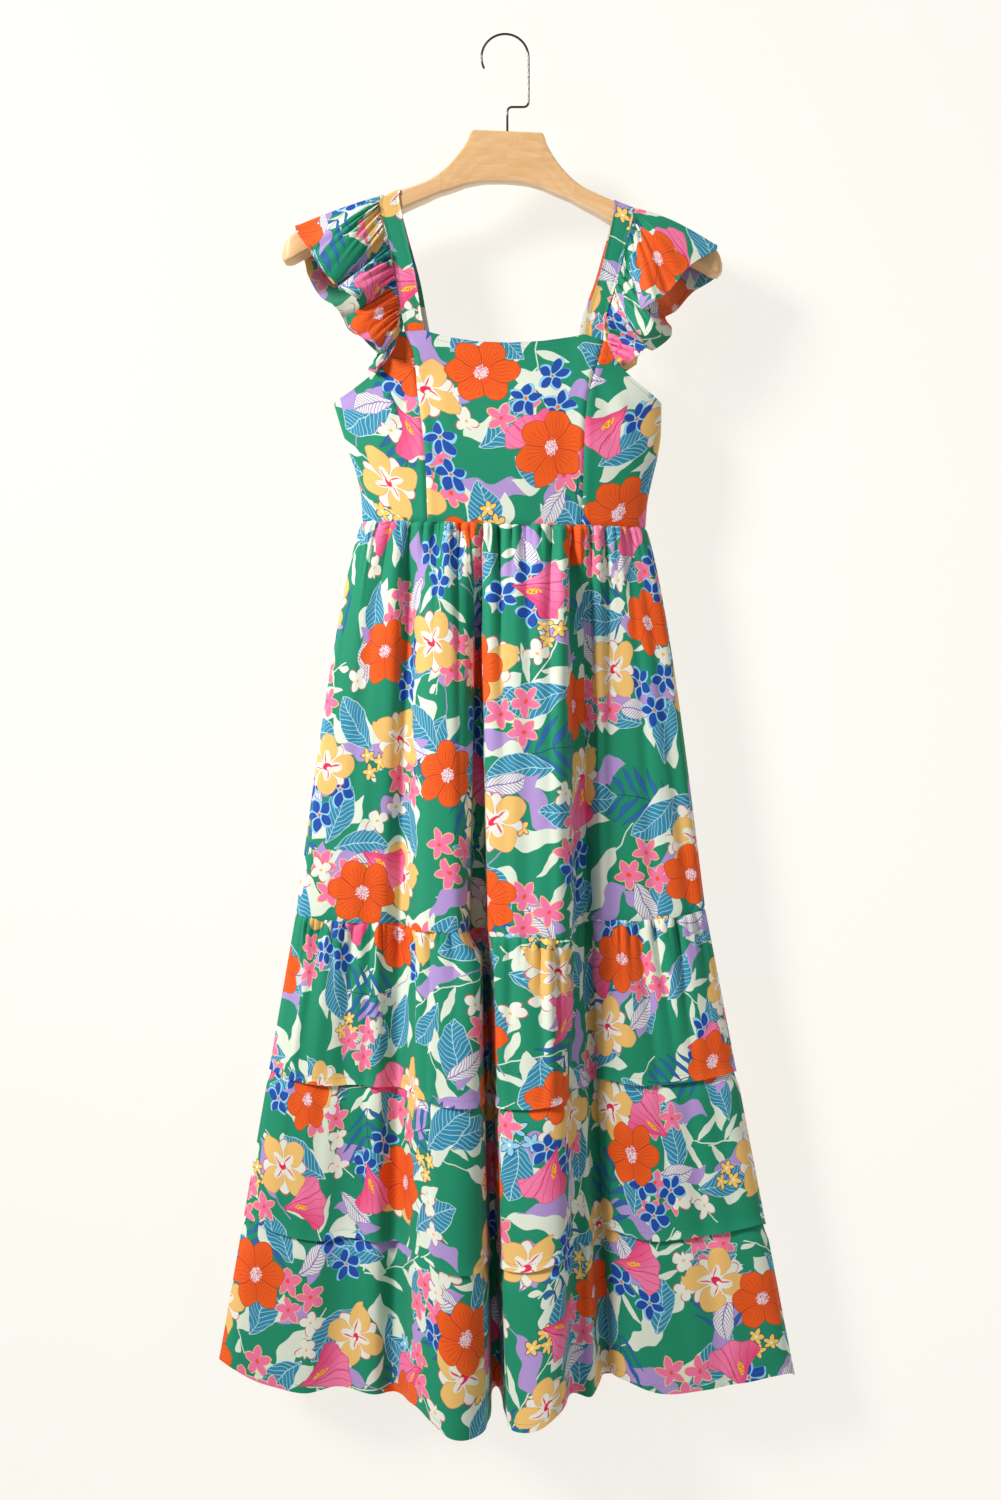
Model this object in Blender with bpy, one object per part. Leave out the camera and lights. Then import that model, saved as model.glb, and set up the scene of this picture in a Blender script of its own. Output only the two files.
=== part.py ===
"""Tiered maxi dress hanging on a wooden hanger.

Frame: metres, +Z up, the dress faces -Y, X to the right as seen from the front.
The origin is the inner top of the hanger's wire hook, where a rail carries it.
All sizes below are in millimetres and become metres when a mesh is made.
"""

import math

import bmesh
import bpy
import numpy as np

MM = 0.001

# ------------------------------------------------------------------ named sizes
WALL = 1.4            # cloth wall
GAP = 0.3             # between two pieces at a seam
TUCK_OVERLAP = 10.0   # how far a tier's lower edge covers the next tier
TUCK_DEPTH = 2.5      # how far the covered tier lies behind it

CROWN_X, CROWN_Z = 2.6, -100.5     # middle of the hanger's crown
HANGER_TILT = math.radians(2.36)   # the hanger hangs with its right side lower
ARM_EDGE = 3.0                     # rounding of the hanger's long edges
ARM_CLEAR = 1.25                   # cloth middle over the wood

WIRE_R = 1.2          # hook wire
HOOK_R = 24.2         # hook bow, to the middle of the wire
BOLT_BORE_R = 1.6
BOLT_BORE_DEPTH = 18.0

WAIST_LEFT_Z, WAIST_RIGHT_Z, WAIST_SAG = -501.4, -508.2, 2.2
SEAM_Z = -911.0       # gathered seam between tier 1 and tier 2
HEM_Z = -1391.5
TUCK_1, TUCK_2 = 0.348, 0.677      # tier edges, as a share of seam to hem
PUFF_V = 0.06                      # the cloth has swelled out by here, as such a share
SEAM_BOW = 0.11       # the side line swells just below the waist
DEPTH_FULL_Z = 85.0   # below the waist seam the folds reach their full depth here

# One half of the hanger, level: distance from the middle, top, bottom, thickness.
HANGER = (
    # from_middle, top, bottom, thick
    (0.0, 0.0, -52.0, 16.0),
    (20.0, 0.0, -53.0, 16.0),
    (34.5, 0.0, -56.0, 16.0),
    (37.0, -2.0, -56.6, 16.0),
    (41.0, -12.0, -57.8, 16.5),
    (47.0, -22.0, -60.3, 17.0),
    (56.0, -34.0, -63.8, 18.0),
    (68.0, -46.0, -68.0, 19.0),
    (80.0, -54.5, -74.0, 20.5),
    (95.0, -61.5, -81.0, 22.5),
    (110.0, -67.5, -89.0, 24.0),
    (127.0, -74.0, -97.0, 25.5),
    (160.0, -87.5, -111.5, 28.0),
    (195.0, -102.0, -127.5, 30.0),
    (208.0, -107.5, -133.5, 30.5),
    (217.0, -113.0, -138.0, 29.0),
    (222.5, -119.5, -139.0, 25.0),
    (225.5, -126.0, -136.5, 16.0),
)

# Bodice. row: 0 at the strap joint, 1 at the underarm, 2 at the waist seam.
ARMHOLE = (
    # row, left_x, right_x
    (0.00, -107.5, 104.5),
    (0.20, -112.5, 109.5),
    (0.38, -120.0, 117.0),
    (0.55, -132.0, 127.0),
    (0.78, -152.0, 144.0),
    (1.00, -176.0, 161.0),
)
SIDE_SEAM = (
    # row, left_x, right_x
    (1.00, -176.0, 161.0),
    (1.22, -168.0, 160.5),
    (1.42, -160.0, 157.0),
    (1.62, -152.0, 151.0),
    (1.82, -147.5, 146.0),
    (2.00, -146.5, 144.5),
)
PRINCESS = (
    # row, left_x, right_x
    (0.00, -102.6, 100.4),
    (0.30, -94.0, 95.0),
    (0.57, -91.0, 89.5),
    (0.90, -89.0, 84.5),
    (1.25, -84.0, 81.0),
    (1.50, -81.0, 80.0),
    (2.00, -79.0, 78.0),
)
NECKLINE = (
    # x, front_z
    (-107.5, -309.3),
    (-102.6, -308.3),
    (-82.0, -307.6),
    (-76.0, -309.8),
    (-55.0, -315.0),
    (-30.0, -319.0),
    (5.0, -320.4),
    (39.0, -318.4),
    (68.0, -314.2),
    (81.0, -311.6),
    (100.4, -317.2),
    (104.5, -318.6),
)
BACK_NECKLINE = (
    # x, back_z
    (-107.5, -310.0),
    (-97.0, -309.0),
    (-76.5, -310.0),
    (-70.0, -314.0),
    (-35.0, -324.5),
    (2.0, -327.0),
    (38.0, -325.5),
    (68.0, -318.0),
    (75.5, -314.5),
    (95.0, -317.5),
    (104.5, -319.0),
)
UNDERARM_Z = -380.0
BODICE_DEPTH = (
    # row, front, back
    (0.00, 17.5, 17.0),
    (0.50, 19.5, 18.5),
    (1.00, 27.0, 23.5),
    (1.50, 33.0, 27.0),
    (2.00, 31.0, 26.0),
)

# Straps: the outer and inner edge at each height, front and back.
STRAP_LEFT = (
    # z, front_outer, front_inner, back_outer, back_inner
    (-285.0, -106.6, -86.6, -101.5, -81.5),
    (-250.0, -111.8, -92.0, -108.0, -88.0),
    (-215.0, -119.0, -100.0, -117.0, -97.5),
)
STRAP_RIGHT = (
    # z, front_outer, front_inner, back_outer, back_inner
    (-287.0, 104.8, 85.4, 100.5, 80.5),
    (-250.0, 116.5, 97.0, 113.5, 93.5),
    (-218.0, 123.5, 105.0, 121.5, 102.5),
)
STRAP_LEFT_ON_ARM = (-127.5, -107.5)    # outer, inner, along the hanger
STRAP_RIGHT_ON_ARM = (131.5, 112.5)

# Ruffles: a row for each fold of the free edge. seam is the place along the
# shoulder seam: 0 at the front end, 1 on top of the hanger, 2 at the back end.
# The rows from arm_front to arm_back lie over the hanger and come from its size.
RUFFLE_LEFT = (
    # name, seam, x, y, z
    ("front_end", 0.00, -126.0, -15.5, -338.0),
    ("lobe_3_low", 0.07, -137.0, -24.0, -344.5),
    ("tuck_3", 0.17, -131.0, -16.0, -331.0),
    ("lobe_2_low", 0.29, -155.5, -38.0, -315.0),
    ("lobe_2_out", 0.40, -160.5, -42.0, -303.5),
    ("lobe_2_high", 0.52, -156.5, -36.0, -281.5),
    ("crease", 0.61, -166.0, -21.0, -270.5),
    ("lobe_1_low", 0.66, -172.0, -38.0, -265.5),
    ("lobe_1_mid", 0.74, -191.5, -34.0, -241.0),
    ("lobe_1_high", 0.82, -204.0, -25.0, -218.0),
    ("arm_front", 0.90, 0.0, 0.0, 0.0),
    ("arm_back", 1.10, 0.0, 0.0, 0.0),
    ("back_high", 1.18, -208.5, 25.0, -228.0),
    ("back_mid", 1.27, -205.5, 29.0, -241.0),
    ("back_crest_1", 1.37, -194.0, 38.0, -260.0),
    ("back_tuck_1", 1.50, -176.0, 25.0, -275.0),
    ("back_crest_2", 1.62, -163.5, 38.0, -295.5),
    ("back_tuck_2", 1.73, -149.0, 21.0, -307.0),
    ("back_crest_3", 1.86, -133.5, 31.0, -322.0),
    ("back_end", 2.00, -126.0, 16.0, -338.0),
)
RUFFLE_RIGHT = (
    # name, seam, x, y, z
    ("front_end", 0.00, 123.5, -15.5, -344.0),
    ("lobe_3_low", 0.07, 130.0, -23.0, -342.0),
    ("lobe_3_out", 0.16, 143.5, -29.0, -331.0),
    ("tuck_3", 0.25, 133.0, -19.0, -322.0),
    ("lobe_2_low", 0.35, 142.0, -30.0, -311.5),
    ("lobe_2_out", 0.47, 149.0, -35.0, -304.0),
    ("lobe_2_high", 0.59, 147.5, -20.0, -297.0),
    ("crease", 0.71, 146.5, -17.0, -282.0),
    ("lobe_1_low", 0.79, 139.5, -42.0, -286.0),
    ("lobe_1_a", 0.82, 157.0, -40.0, -279.0),
    ("lobe_1_b", 0.85, 189.5, -34.0, -244.5),
    ("lobe_1_c", 0.88, 208.5, -26.0, -225.5),
    ("arm_front", 0.90, 0.0, 0.0, 0.0),
    ("arm_back", 1.10, 0.0, 0.0, 0.0),
    ("back_high", 1.17, 219.5, 25.0, -243.0),
    ("back_mid", 1.24, 211.5, 29.0, -258.5),
    ("back_crest_1", 1.34, 193.5, 36.0, -283.0),
    ("back_tuck_1", 1.45, 174.0, 22.0, -287.5),
    ("back_crest_2", 1.58, 176.5, 38.0, -307.5),
    ("back_low", 1.72, 163.0, 34.0, -319.0),
    ("back_tuck_2", 1.82, 145.0, 21.0, -320.0),
    ("back_crest_3", 1.90, 136.0, 28.0, -334.0),
    ("back_end", 2.00, 123.5, 16.0, -344.0),
)
RUFFLE_HEM_ON_ARM = (-213.0, 219.0)     # left, right, along the hanger
RUFFLE_BULGE = 0.05                     # how far a lobe swells, to its width

# Skirt folds, one row each, left to right: where the fold runs at the waist, at
# the tier 1 seam and at the hem, how deep it lies there, how much lower the seam
# and the hem hang on it, and how far the cloth swells sideways below the seam.
FRONT_FOLDS = (
    # name, waist_x, seam_x, hem_x, depth_waist, depth_seam, depth_hem, seam_drop, hem_drop, puff
    ("side_left", -146.5, -215, -294, 0, 0, 0, -6, -28, 0),
    ("turn_left", -142, -207, -282, -8, -9, -10, -4, -23, 0),
    ("wing_left_a", -131, -190, -252, -14, -15, -15, 0, -9, 0),
    ("wing_left_b", -122, -168, -205, -16, -17, -19, 1, 1, 0),
    ("wing_left_c", -114, -146, -171, -17, -18, -12, 2, -4, 0),
    ("wing_left_d", -106, -125, -135, -18, -20, -19, 2, 2, 0),
    ("foot_a", -95, -106, -111, -13, -10, -9, 4, 3, 0),
    ("ridge_a_left", -72, -88, -86, -34, -44, -54, 8, 6, 0),
    ("ridge_a", -56, -62, -53, -38, -56, -74, 8, 28, 0),
    ("ridge_a_right", -41, -42, -21, -29, -50, -58, 10, 26, 14),
    ("valley_a_left", -34, -35, -12, -13, -8, -8, 9, 1, 12),
    ("valley_a_right", -22, -19, -4, -13, -8, -8, 9, 4, 2),
    ("ridge_b_left", -13, -11, 4, -42, -48, -56, 13, 22, 0),
    ("ridge_b", 25, 28, 30, -48, -60, -76, 14, 20, 0),
    ("ridge_b_right", 59, 62, 56, -45, -56, -70, 13, 3, 0),
    ("step_top", 68, 71, 67, -22, -24, -37, 7, -5, 0),
    ("step_foot", 73, 78, 88, -14, -13, -38, 3, -2, 0),
    ("valley_b", 80, 85, 103, -12, -8, -8, 1, -17, 0),
    ("wing_right_a", 92, 97, 120, -20, -23, -26, -1, -15, 0),
    ("wing_right_b", 107, 127, 165, -18, -20, -25, 0, 0, 0),
    ("wing_right_c", 125, 172, 240, -15, -17, -17, -2, -8, 0),
    ("turn_right", 140, 199, 287, -8, -10, -11, -8, -16, 0),
    ("side_right", 144.5, 206, 298, 0, 0, 0, -11, -12, 0),
)
BACK_FOLDS = (
    # name, waist_x, seam_x, hem_x, depth_waist, depth_seam, depth_hem, seam_drop, hem_drop, puff
    ("side_left", -146.5, -215, -294, 0, 0, 0, -6, -28, 0),
    ("turn_left", -142, -208, -283, 8, 9, 10, -4, -23, 0),
    ("back_a", -124, -180, -232, 24, 34, 40, 0, -6, 0),
    ("back_b", -103, -141, -175, 18, 25, 28, 0, 0, 0),
    ("back_c", -79, -103, -118, 26, 38, 46, 1, 2, 0),
    ("back_d", -55, -62, -57, 20, 27, 29, 2, 0, 0),
    ("back_e", -26, -18, 0, 27, 41, 50, 1, 2, 0),
    ("back_f", 3, 24, 53, 20, 26, 29, 0, 0, 0),
    ("back_g", 31, 67, 110, 26, 38, 46, 0, 2, 0),
    ("back_h", 65, 113, 170, 19, 26, 29, -1, 0, 0),
    ("back_i", 101, 162, 237, 24, 33, 40, -4, -4, 0),
    ("turn_right", 140, 199, 286, 8, 9, 10, -8, -12, 0),
    ("side_right", 144.5, 206, 298, 0, 0, 0, -11, -12, 0),
)


# ------------------------------------------------------------------ small maths
def table(rows, column, key, at):
    """The column of a table at a value of its key column, straight between rows."""
    return float(np.interp(at, [row[key] for row in rows], [row[column] for row in rows]))


def fold_value(rows, column, at, held=()):
    """A fold table's column at a place between its rows, on a smooth curve through
    them. The curve rests at the rows that held names."""
    last = len(rows) - 1
    i = min(int(math.floor(at)), last - 1)
    f = at - i
    p1, p2 = rows[i][column], rows[i + 1][column]
    p0 = rows[i - 1][column] if i > 0 else 2 * p1 - p2
    p3 = rows[i + 2][column] if i + 2 <= last else 2 * p2 - p1
    m1 = 0.0 if i in held else (p2 - p0) / 2
    m2 = 0.0 if i + 1 in held else (p3 - p1) / 2
    f2, f3 = f * f, f * f * f
    return ((2 * f3 - 3 * f2 + 1) * p1 + (f3 - 2 * f2 + f) * m1
            + (3 * f2 - 2 * f3) * p2 + (f3 - f2) * m2)


def smooth_step(value):
    value = min(max(value, 0.0), 1.0)
    return value * value * (3 - 2 * value)


def mix(a, b, t):
    return a + (b - a) * t


def steps(rows, per_fold):
    """Places along a fold table, per_fold to each fold."""
    return [i / per_fold for i in range((len(rows) - 1) * per_fold + 1)]


# ------------------------------------------------------------------ the hanger
def hanger_profile(along):
    """Top, bottom and thickness of the hanger at a distance from its middle."""
    at = abs(along)
    return tuple(table(HANGER, column, 0, at) for column in (1, 2, 3))


def hanger_world(along, y, level_z):
    """A point of the level hanger, tilted and put in its place."""
    c, s = math.cos(HANGER_TILT), math.sin(HANGER_TILT)
    return (CROWN_X + along * c + level_z * s, y, CROWN_Z - along * s + level_z * c)


def arm_wrap(along, face_drop):
    """Points over the arm from front to back, clear of the wood: down the front
    face by face_drop, round both edges and down the back."""
    at = min(abs(along), 208.0)
    half = hanger_profile(at)[2] / 2
    top = hanger_profile(127.0)[0] + (abs(along) - 127.0) * (
        (hanger_profile(208.0)[0] - hanger_profile(127.0)[0]) / 81.0)
    if abs(along) < 127.0:
        top = hanger_profile(along)[0]
    r = ARM_EDGE + ARM_CLEAR
    centre_y, centre_z = half - ARM_EDGE, top - ARM_EDGE
    front = [(-centre_y - r, top - face_drop)]
    front += [(-centre_y - r * math.cos(a), centre_z + r * math.sin(a))
              for a in (0.0, math.radians(45), math.radians(90))]
    path = front + [(0.0, top + ARM_CLEAR)] + [(-y, z) for y, z in reversed(front)]
    return [hanger_world(along, y, z) for y, z in path]


# ------------------------------------------------------------------ the bodice
def waist_z(x):
    t = (x - SIDE_SEAM[-1][1]) / (SIDE_SEAM[-1][2] - SIDE_SEAM[-1][1])
    return mix(WAIST_LEFT_Z, WAIST_RIGHT_Z, t) - WAIST_SAG * (1 - (2 * t - 1) ** 2)


def side_x(row, right):
    rows = SIDE_SEAM if row >= 1 else ARMHOLE
    return table(rows, 2 if right else 1, 0, row)


def bodice_depth(x, row, back):
    """Depth of the bodice at x: a flattened round from side seam to side seam."""
    left, right = side_x(max(row, 1.0), False), side_x(max(row, 1.0), True)
    t = min(abs((x - (left + right) / 2) / ((right - left) / 2)), 1.0)
    depth = table(BODICE_DEPTH, 2 if back else 1, 0, row)
    return depth * math.sqrt(max(1 - t ** 2.3, 0.0)) * (1 if back else -1)


def bodice_point(x, row, back, top_row_z):
    """A point of the bodice. Rows run evenly from the top edge through the
    underarm level to the waist seam."""
    if row <= 1:
        z = mix(top_row_z, UNDERARM_Z, row)
    else:
        z = mix(UNDERARM_Z, waist_z(x), row - 1)
    return (x, bodice_depth(x, row, back), z)


def neck_z(x, back):
    return table(BACK_NECKLINE if back else NECKLINE, 1, 0, x)


BODICE_ROWS = (0.0, 0.2, 0.38, 0.55, 0.78, 1.0, 1.22, 1.42, 1.62, 1.82, 2.0)


def centre_front_grid():
    grid = []
    for row in BODICE_ROWS:
        left = table(PRINCESS, 1, 0, row) + GAP / 2
        right = table(PRINCESS, 2, 0, row) - GAP / 2
        top_l, top_r = PRINCESS[0][1] + GAP / 2, PRINCESS[0][2] - GAP / 2
        line = []
        for i in range(17):
            u = i / 16
            x = mix(left, right, u)
            line.append(bodice_point(x, row, False, neck_z(mix(top_l, top_r, u), False)))
        grid.append(line)
    return grid


def side_front_grid(right_side):
    grid = []
    column = 2 if right_side else 1
    inward = -1 if right_side else 1
    for row in BODICE_ROWS:
        outer = side_x(row, right_side)
        inner = table(PRINCESS, column, 0, row) - inward * GAP / 2
        top_outer = ARMHOLE[0][column]
        top_inner = PRINCESS[0][column] - inward * GAP / 2
        line = []
        for i in range(7):
            u = (i / 6) ** 1.5
            x = mix(outer, inner, u)
            y_row = bodice_point(x, row, False, neck_z(mix(top_outer, top_inner, u), False))
            y = min(y_row[1], -GAP / 2)
            line.append((x, y, y_row[2]))
        grid.append(line if not right_side else line[::-1])
    return grid


def back_grid():
    grid = []
    for row in BODICE_ROWS:
        left, right = side_x(row, False), side_x(row, True)
        line = []
        for i in range(21):
            u = i / 20
            u = u + 0.06 * math.sin(2 * math.pi * u) * (-1)
            x = mix(left, right, u)
            top_x = mix(ARMHOLE[0][1], ARMHOLE[0][2], u)
            x_, y, z = bodice_point(x, row, True, neck_z(top_x, True))
            line.append((x_, max(y, GAP / 2), z))
        grid.append(line)
    return grid


# ------------------------------------------------------------------ straps
def strap_grid(right_side):
    """Rows along the ribbon, from the front joint over the arm to the back joint.
    Each row runs from the outer to the inner edge."""
    rows = STRAP_RIGHT if right_side else STRAP_LEFT
    outer_arm, inner_arm = STRAP_RIGHT_ON_ARM if right_side else STRAP_LEFT_ON_ARM
    joint_front = (100.0, 81.2) if right_side else (-102.2, -82.2)
    joint_back = (94.5, 75.8) if right_side else (-96.5, -76.8)
    across = (0.0, 0.5, 1.0)
    wraps = [arm_wrap(mix(outer_arm, inner_arm, w), 12.0) for w in across]

    def lower(back):
        lines = []
        ends = joint_back if back else joint_front
        line = []
        for w in across:
            x = mix(ends[0], ends[1], w)
            line.append((x, bodice_depth(x, 0.0, back), neck_z(x, back) + GAP))
        lines.append(line)
        joint_y = line[1][1]
        arm_y = wraps[1][-1 if back else 0][1]
        for z, fo, fi, bo, bi in rows:
            o, n = (bo, bi) if back else (fo, fi)
            f = (z - line[1][2]) / (wraps[1][0][2] - line[1][2])
            lines.append([(mix(o, n, w), mix(joint_y, arm_y, f), z) for w in across])
        return lines

    front, behind = lower(False), lower(True)
    over = [[wrap[i] for wrap in wraps] for i in range(len(wraps[0]))]
    return front + over + behind[::-1]


# ------------------------------------------------------------------ ruffles
def shoulder_seam(right_side):
    """The line that a ruffle is gathered to: the armhole's upper end, then the
    strap's outer edge over the arm. Rows: seam place and point."""
    sign = 1 if right_side else -1
    off = sign * (GAP + 1.0)
    rows = STRAP_RIGHT if right_side else STRAP_LEFT
    column = 2 if right_side else 1
    outer_arm = (STRAP_RIGHT_ON_ARM if right_side else STRAP_LEFT_ON_ARM)[0]
    wrap = arm_wrap(outer_arm + sign * (GAP + 0.5), 12.0)
    seam = []
    for back in (False, True):
        side = 1 if back else -1
        end_row = 0.38
        top_x = ARMHOLE[0][column]
        part = []
        for at, row in ((0.0, end_row), (0.09, 0.2), (0.16, 0.0)):
            x = side_x(row, right_side)
            x_, y, z = bodice_point(x, row, back, neck_z(top_x, back))
            part.append((at, (x + off, y, z)))
        for k, line in enumerate(rows):
            at = (0.32, 0.52, 0.68)[k]
            x = line[3] if back else line[1]
            f = (line[0] - part[2][1][2]) / (wrap[0][2] - part[2][1][2])
            part.append((at, (x + off, mix(part[2][1][1], side * abs(wrap[0][1]), f), line[0])))
        for k, at in enumerate((0.80, 0.90, 0.93, 0.96, 1.0)):
            part.append((at, wrap[len(wrap) - 1 - k] if back else wrap[k]))
        seam.append(part)
    front, back = seam
    return front + [(2 - at, point) for at, point in reversed(back[:-1])]


def seam_point(seam, at):
    keys = [row[0] for row in seam]
    return tuple(float(np.interp(at, keys, [row[1][axis] for row in seam])) for axis in range(3))


def ruffle_rows(right_side):
    """Fold rows as (seam place, free edge point). The rows over the arm are
    worked out from the hanger."""
    source = RUFFLE_RIGHT if right_side else RUFFLE_LEFT
    hem = RUFFLE_HEM_ON_ARM[1 if right_side else 0]
    wrap = arm_wrap(hem, 5.0)
    rows, held = [], []
    for name, seam, x, y, z in source:
        if name == "arm_front":
            held = list(range(len(rows), len(rows) + 7))
            rows += [(seam + step, wrap[1 + k]) for k, step in enumerate((0.0, 0.03, 0.06, 0.10))]
        elif name == "arm_back":
            rows += [(seam - step, wrap[7 - k]) for k, step in ((2, 0.06), (1, 0.03), (0, 0.0))]
        else:
            rows.append((seam, (x, y, z)))
    return rows, held


def ruffle_grid(right_side, per_fold, across):
    rows, held = ruffle_rows(right_side)
    flat = [(row[0],) + row[1] for row in rows]
    seam = shoulder_seam(right_side)
    grid = []
    for at in steps(rows, per_fold):
        place = fold_value(flat, 0, at, held)
        hem = [fold_value(flat, axis, at, held) for axis in (1, 2, 3)]
        start = seam_point(seam, place)
        line = []
        for j in range(across + 1):
            r = j / across
            point = [mix(start[k], hem[k], r) for k in range(3)]
            away = 1 - smooth_step((abs(place - 1.0) < 0.12) * 1.0)
            side = -1 if place < 1 else 1
            width = math.dist(start, hem)
            point[1] += side * RUFFLE_BULGE * width * math.sin(math.pi * r) * away
            line.append(tuple(point))
        grid.append(line)
    return grid


# ------------------------------------------------------------------ the skirt
def skirt_point(folds, at, v, tier_1):
    """A point of the skirt. v runs from the waist to the tier 1 seam in tier 1,
    and from that seam to the hem below it."""
    waist_x, seam_x, hem_x = (fold_value(folds, c, at) for c in (1, 2, 3))
    deep_waist, deep_seam, deep_hem = (fold_value(folds, c, at) for c in (4, 5, 6))
    seam_drop, hem_drop = (fold_value(folds, c, at) for c in (7, 8))
    seam_z, hem_z = SEAM_Z - seam_drop, HEM_Z - hem_drop
    if not tier_1:
        # the gathered cloth swells sideways just below the seam
        puff = fold_value(folds, 9, at) * smooth_step(v / PUFF_V) * (1 - v)
        return (mix(seam_x, hem_x, v) + puff, mix(deep_seam, deep_hem, v), mix(seam_z, hem_z, v))
    top = waist_z(waist_x)
    z = mix(top, seam_z, v)
    spread = v + SEAM_BOW * math.sin(math.pi * v ** 0.6) if v > 0 else 0.0
    back = folds is BACK_FOLDS
    at_waist = bodice_depth(waist_x, 2.0, back)
    deep = mix(deep_waist, deep_seam, max(0.0, (top - z - DEPTH_FULL_Z)) / (top - seam_z - DEPTH_FULL_Z))
    y = mix(at_waist, deep, smooth_step((top - z) / DEPTH_FULL_Z))
    return (mix(waist_x, seam_x, spread), y, z)


def horizontal_normals(grid, outward_y, sides_square):
    """Level normals of a grid, on the side that outward_y names. With
    sides_square the two side columns point straight out."""
    points = np.array(grid, float)
    along = np.gradient(points, axis=1)
    normals = np.stack([along[..., 1], -along[..., 0], np.zeros(along.shape[:2])], axis=-1)
    if outward_y > 0:
        normals = -normals
    lengths = np.linalg.norm(normals, axis=-1, keepdims=True)
    normals = normals / np.maximum(lengths, 1e-9)
    if sides_square:
        normals[:, 0] = (-1, 0, 0)
        normals[:, -1] = (1, 0, 0)
    return points, normals


def tier_grid(folds, per_fold, rows, tier_1):
    """rows: (v, how far behind the surface, step in z)."""
    outward = 1 if folds is BACK_FOLDS else -1
    base = [[skirt_point(folds, at, v, tier_1) for at in steps(folds, per_fold)]
            for v, _, _ in rows]
    points, normals = horizontal_normals(base, outward, True)
    points[:, 0, 1] = points[:, -1, 1] = outward * GAP / 2
    for k, (_, behind, step) in enumerate(rows):
        points[k] -= normals[k] * behind
        points[k, 0, 1] = points[k, -1, 1] = outward * GAP / 2
        points[k, :, 2] += step
    return points, normals


# ------------------------------------------------------------------ mesh making
def material(name, colour, roughness, metallic=0.0):
    made = bpy.data.materials.new(name)
    made.use_nodes = True
    shader = made.node_tree.nodes["Principled BSDF"]
    shader.inputs["Base Color"].default_value = (*colour, 1.0)
    shader.inputs["Roughness"].default_value = roughness
    shader.inputs["Metallic"].default_value = metallic
    return made


def add_object(name, vertices, faces, surface):
    mesh = bpy.data.meshes.new(name)
    mesh.from_pydata([tuple(c * MM for c in v) for v in vertices], [], faces)
    fixed = bmesh.new()
    fixed.from_mesh(mesh)
    bmesh.ops.recalc_face_normals(fixed, faces=fixed.faces)
    fixed.to_mesh(mesh)
    fixed.free()
    mesh.materials.append(surface)
    made = bpy.data.objects.new(name, mesh)
    bpy.context.scene.collection.objects.link(made)
    return made


def full_normals(grid):
    points = np.array(grid, float)
    a, b = np.gradient(points, axis=0), np.gradient(points, axis=1)
    normals = np.cross(a, b)
    return points, normals / np.maximum(np.linalg.norm(normals, axis=-1, keepdims=True), 1e-9)


def cloth(name, points, normals, surface, wall=WALL):
    """A closed wall on both sides of a grid of points."""
    rows, columns = points.shape[:2]
    outer = (points + normals * wall / 2).reshape(-1, 3)
    inner = (points - normals * wall / 2).reshape(-1, 3)
    vertices = [tuple(map(float, v)) for v in np.concatenate([outer, inner])]
    shift = rows * columns

    def at(i, j):
        return i * columns + j

    faces = []
    for i in range(rows - 1):
        for j in range(columns - 1):
            a, b, c, d = at(i, j), at(i, j + 1), at(i + 1, j + 1), at(i + 1, j)
            faces += [(a, b, c), (a, c, d)]
            faces += [(shift + a, shift + c, shift + b), (shift + a, shift + d, shift + c)]
    rim = [at(0, j) for j in range(columns)]
    rim += [at(i, columns - 1) for i in range(1, rows)]
    rim += [at(rows - 1, j) for j in range(columns - 2, -1, -1)]
    rim += [at(i, 0) for i in range(rows - 2, 0, -1)]
    for a, b in zip(rim, rim[1:] + rim[:1]):
        faces += [(a, shift + b, b), (a, shift + a, shift + b)]
    return add_object(name, vertices, faces, surface)


def hanger_body(surface):
    """Sections along the hanger, each a rectangle with rounded corners."""
    stations = [-row[0] for row in reversed(HANGER[1:])] + [row[0] for row in HANGER]
    corners = ((-1, 1), (1, 1), (1, -1), (-1, -1))
    ring_size = 12
    vertices = []
    for along in stations:
        top, bottom, thick = hanger_profile(along)
        r = min(ARM_EDGE, thick / 2 - 1, (top - bottom) / 2 - 1)
        half_t, half_h = thick / 2, (top - bottom) / 2
        middle = (top + bottom) / 2
        for k, (sy, sz) in enumerate(corners):
            start = (math.pi, math.pi / 2, 0.0, -math.pi / 2)[k]
            for step in range(3):
                a = start - step * math.pi / 4
                y = sy * (half_t - r) + r * math.cos(a)
                z = sz * (half_h - r) + r * math.sin(a)
                vertices.append(hanger_world(along, y, middle + z))
    faces = []
    for i in range(len(stations) - 1):
        for k in range(ring_size):
            a, b = i * ring_size + k, i * ring_size + (k + 1) % ring_size
            faces.append((a, b, b + ring_size, a + ring_size))
    faces.append(tuple(range(ring_size)))
    faces.append(tuple(len(vertices) - 1 - k for k in range(ring_size)))
    return add_object("hanger_body", vertices, faces, surface)


def hook_route():
    """The wire's middle line from the free end to its foot, in the XZ plane."""
    centre_z = -HOOK_R + WIRE_R
    points = []
    for i in range(19):                      # bow, from the open end over the top
        a = math.radians(206 - i * (206 - 0) / 18)
        points.append((HOOK_R * math.cos(a), centre_z + HOOK_R * math.sin(a)))
    leg_x, leg_end, corner = HOOK_R, -69.0, 5.0
    points.append((leg_x, mix(centre_z, leg_end, 0.5)))
    for i in range(6):                       # lower corner, towards the middle
        a = math.radians(-i * 18)
        points.append((leg_x - corner + corner * math.cos(a), leg_end + corner * math.sin(a)))
    foot_x = CROWN_X - 0.2
    for i in range(6):                       # and down again above the crown
        a = math.radians(90 + i * 18)
        points.append((foot_x + corner + corner * math.cos(a), leg_end - 2 * corner + corner * math.sin(a)))
    points.append((foot_x, CROWN_Z - BOLT_BORE_DEPTH + 2.0))
    return points


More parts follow.
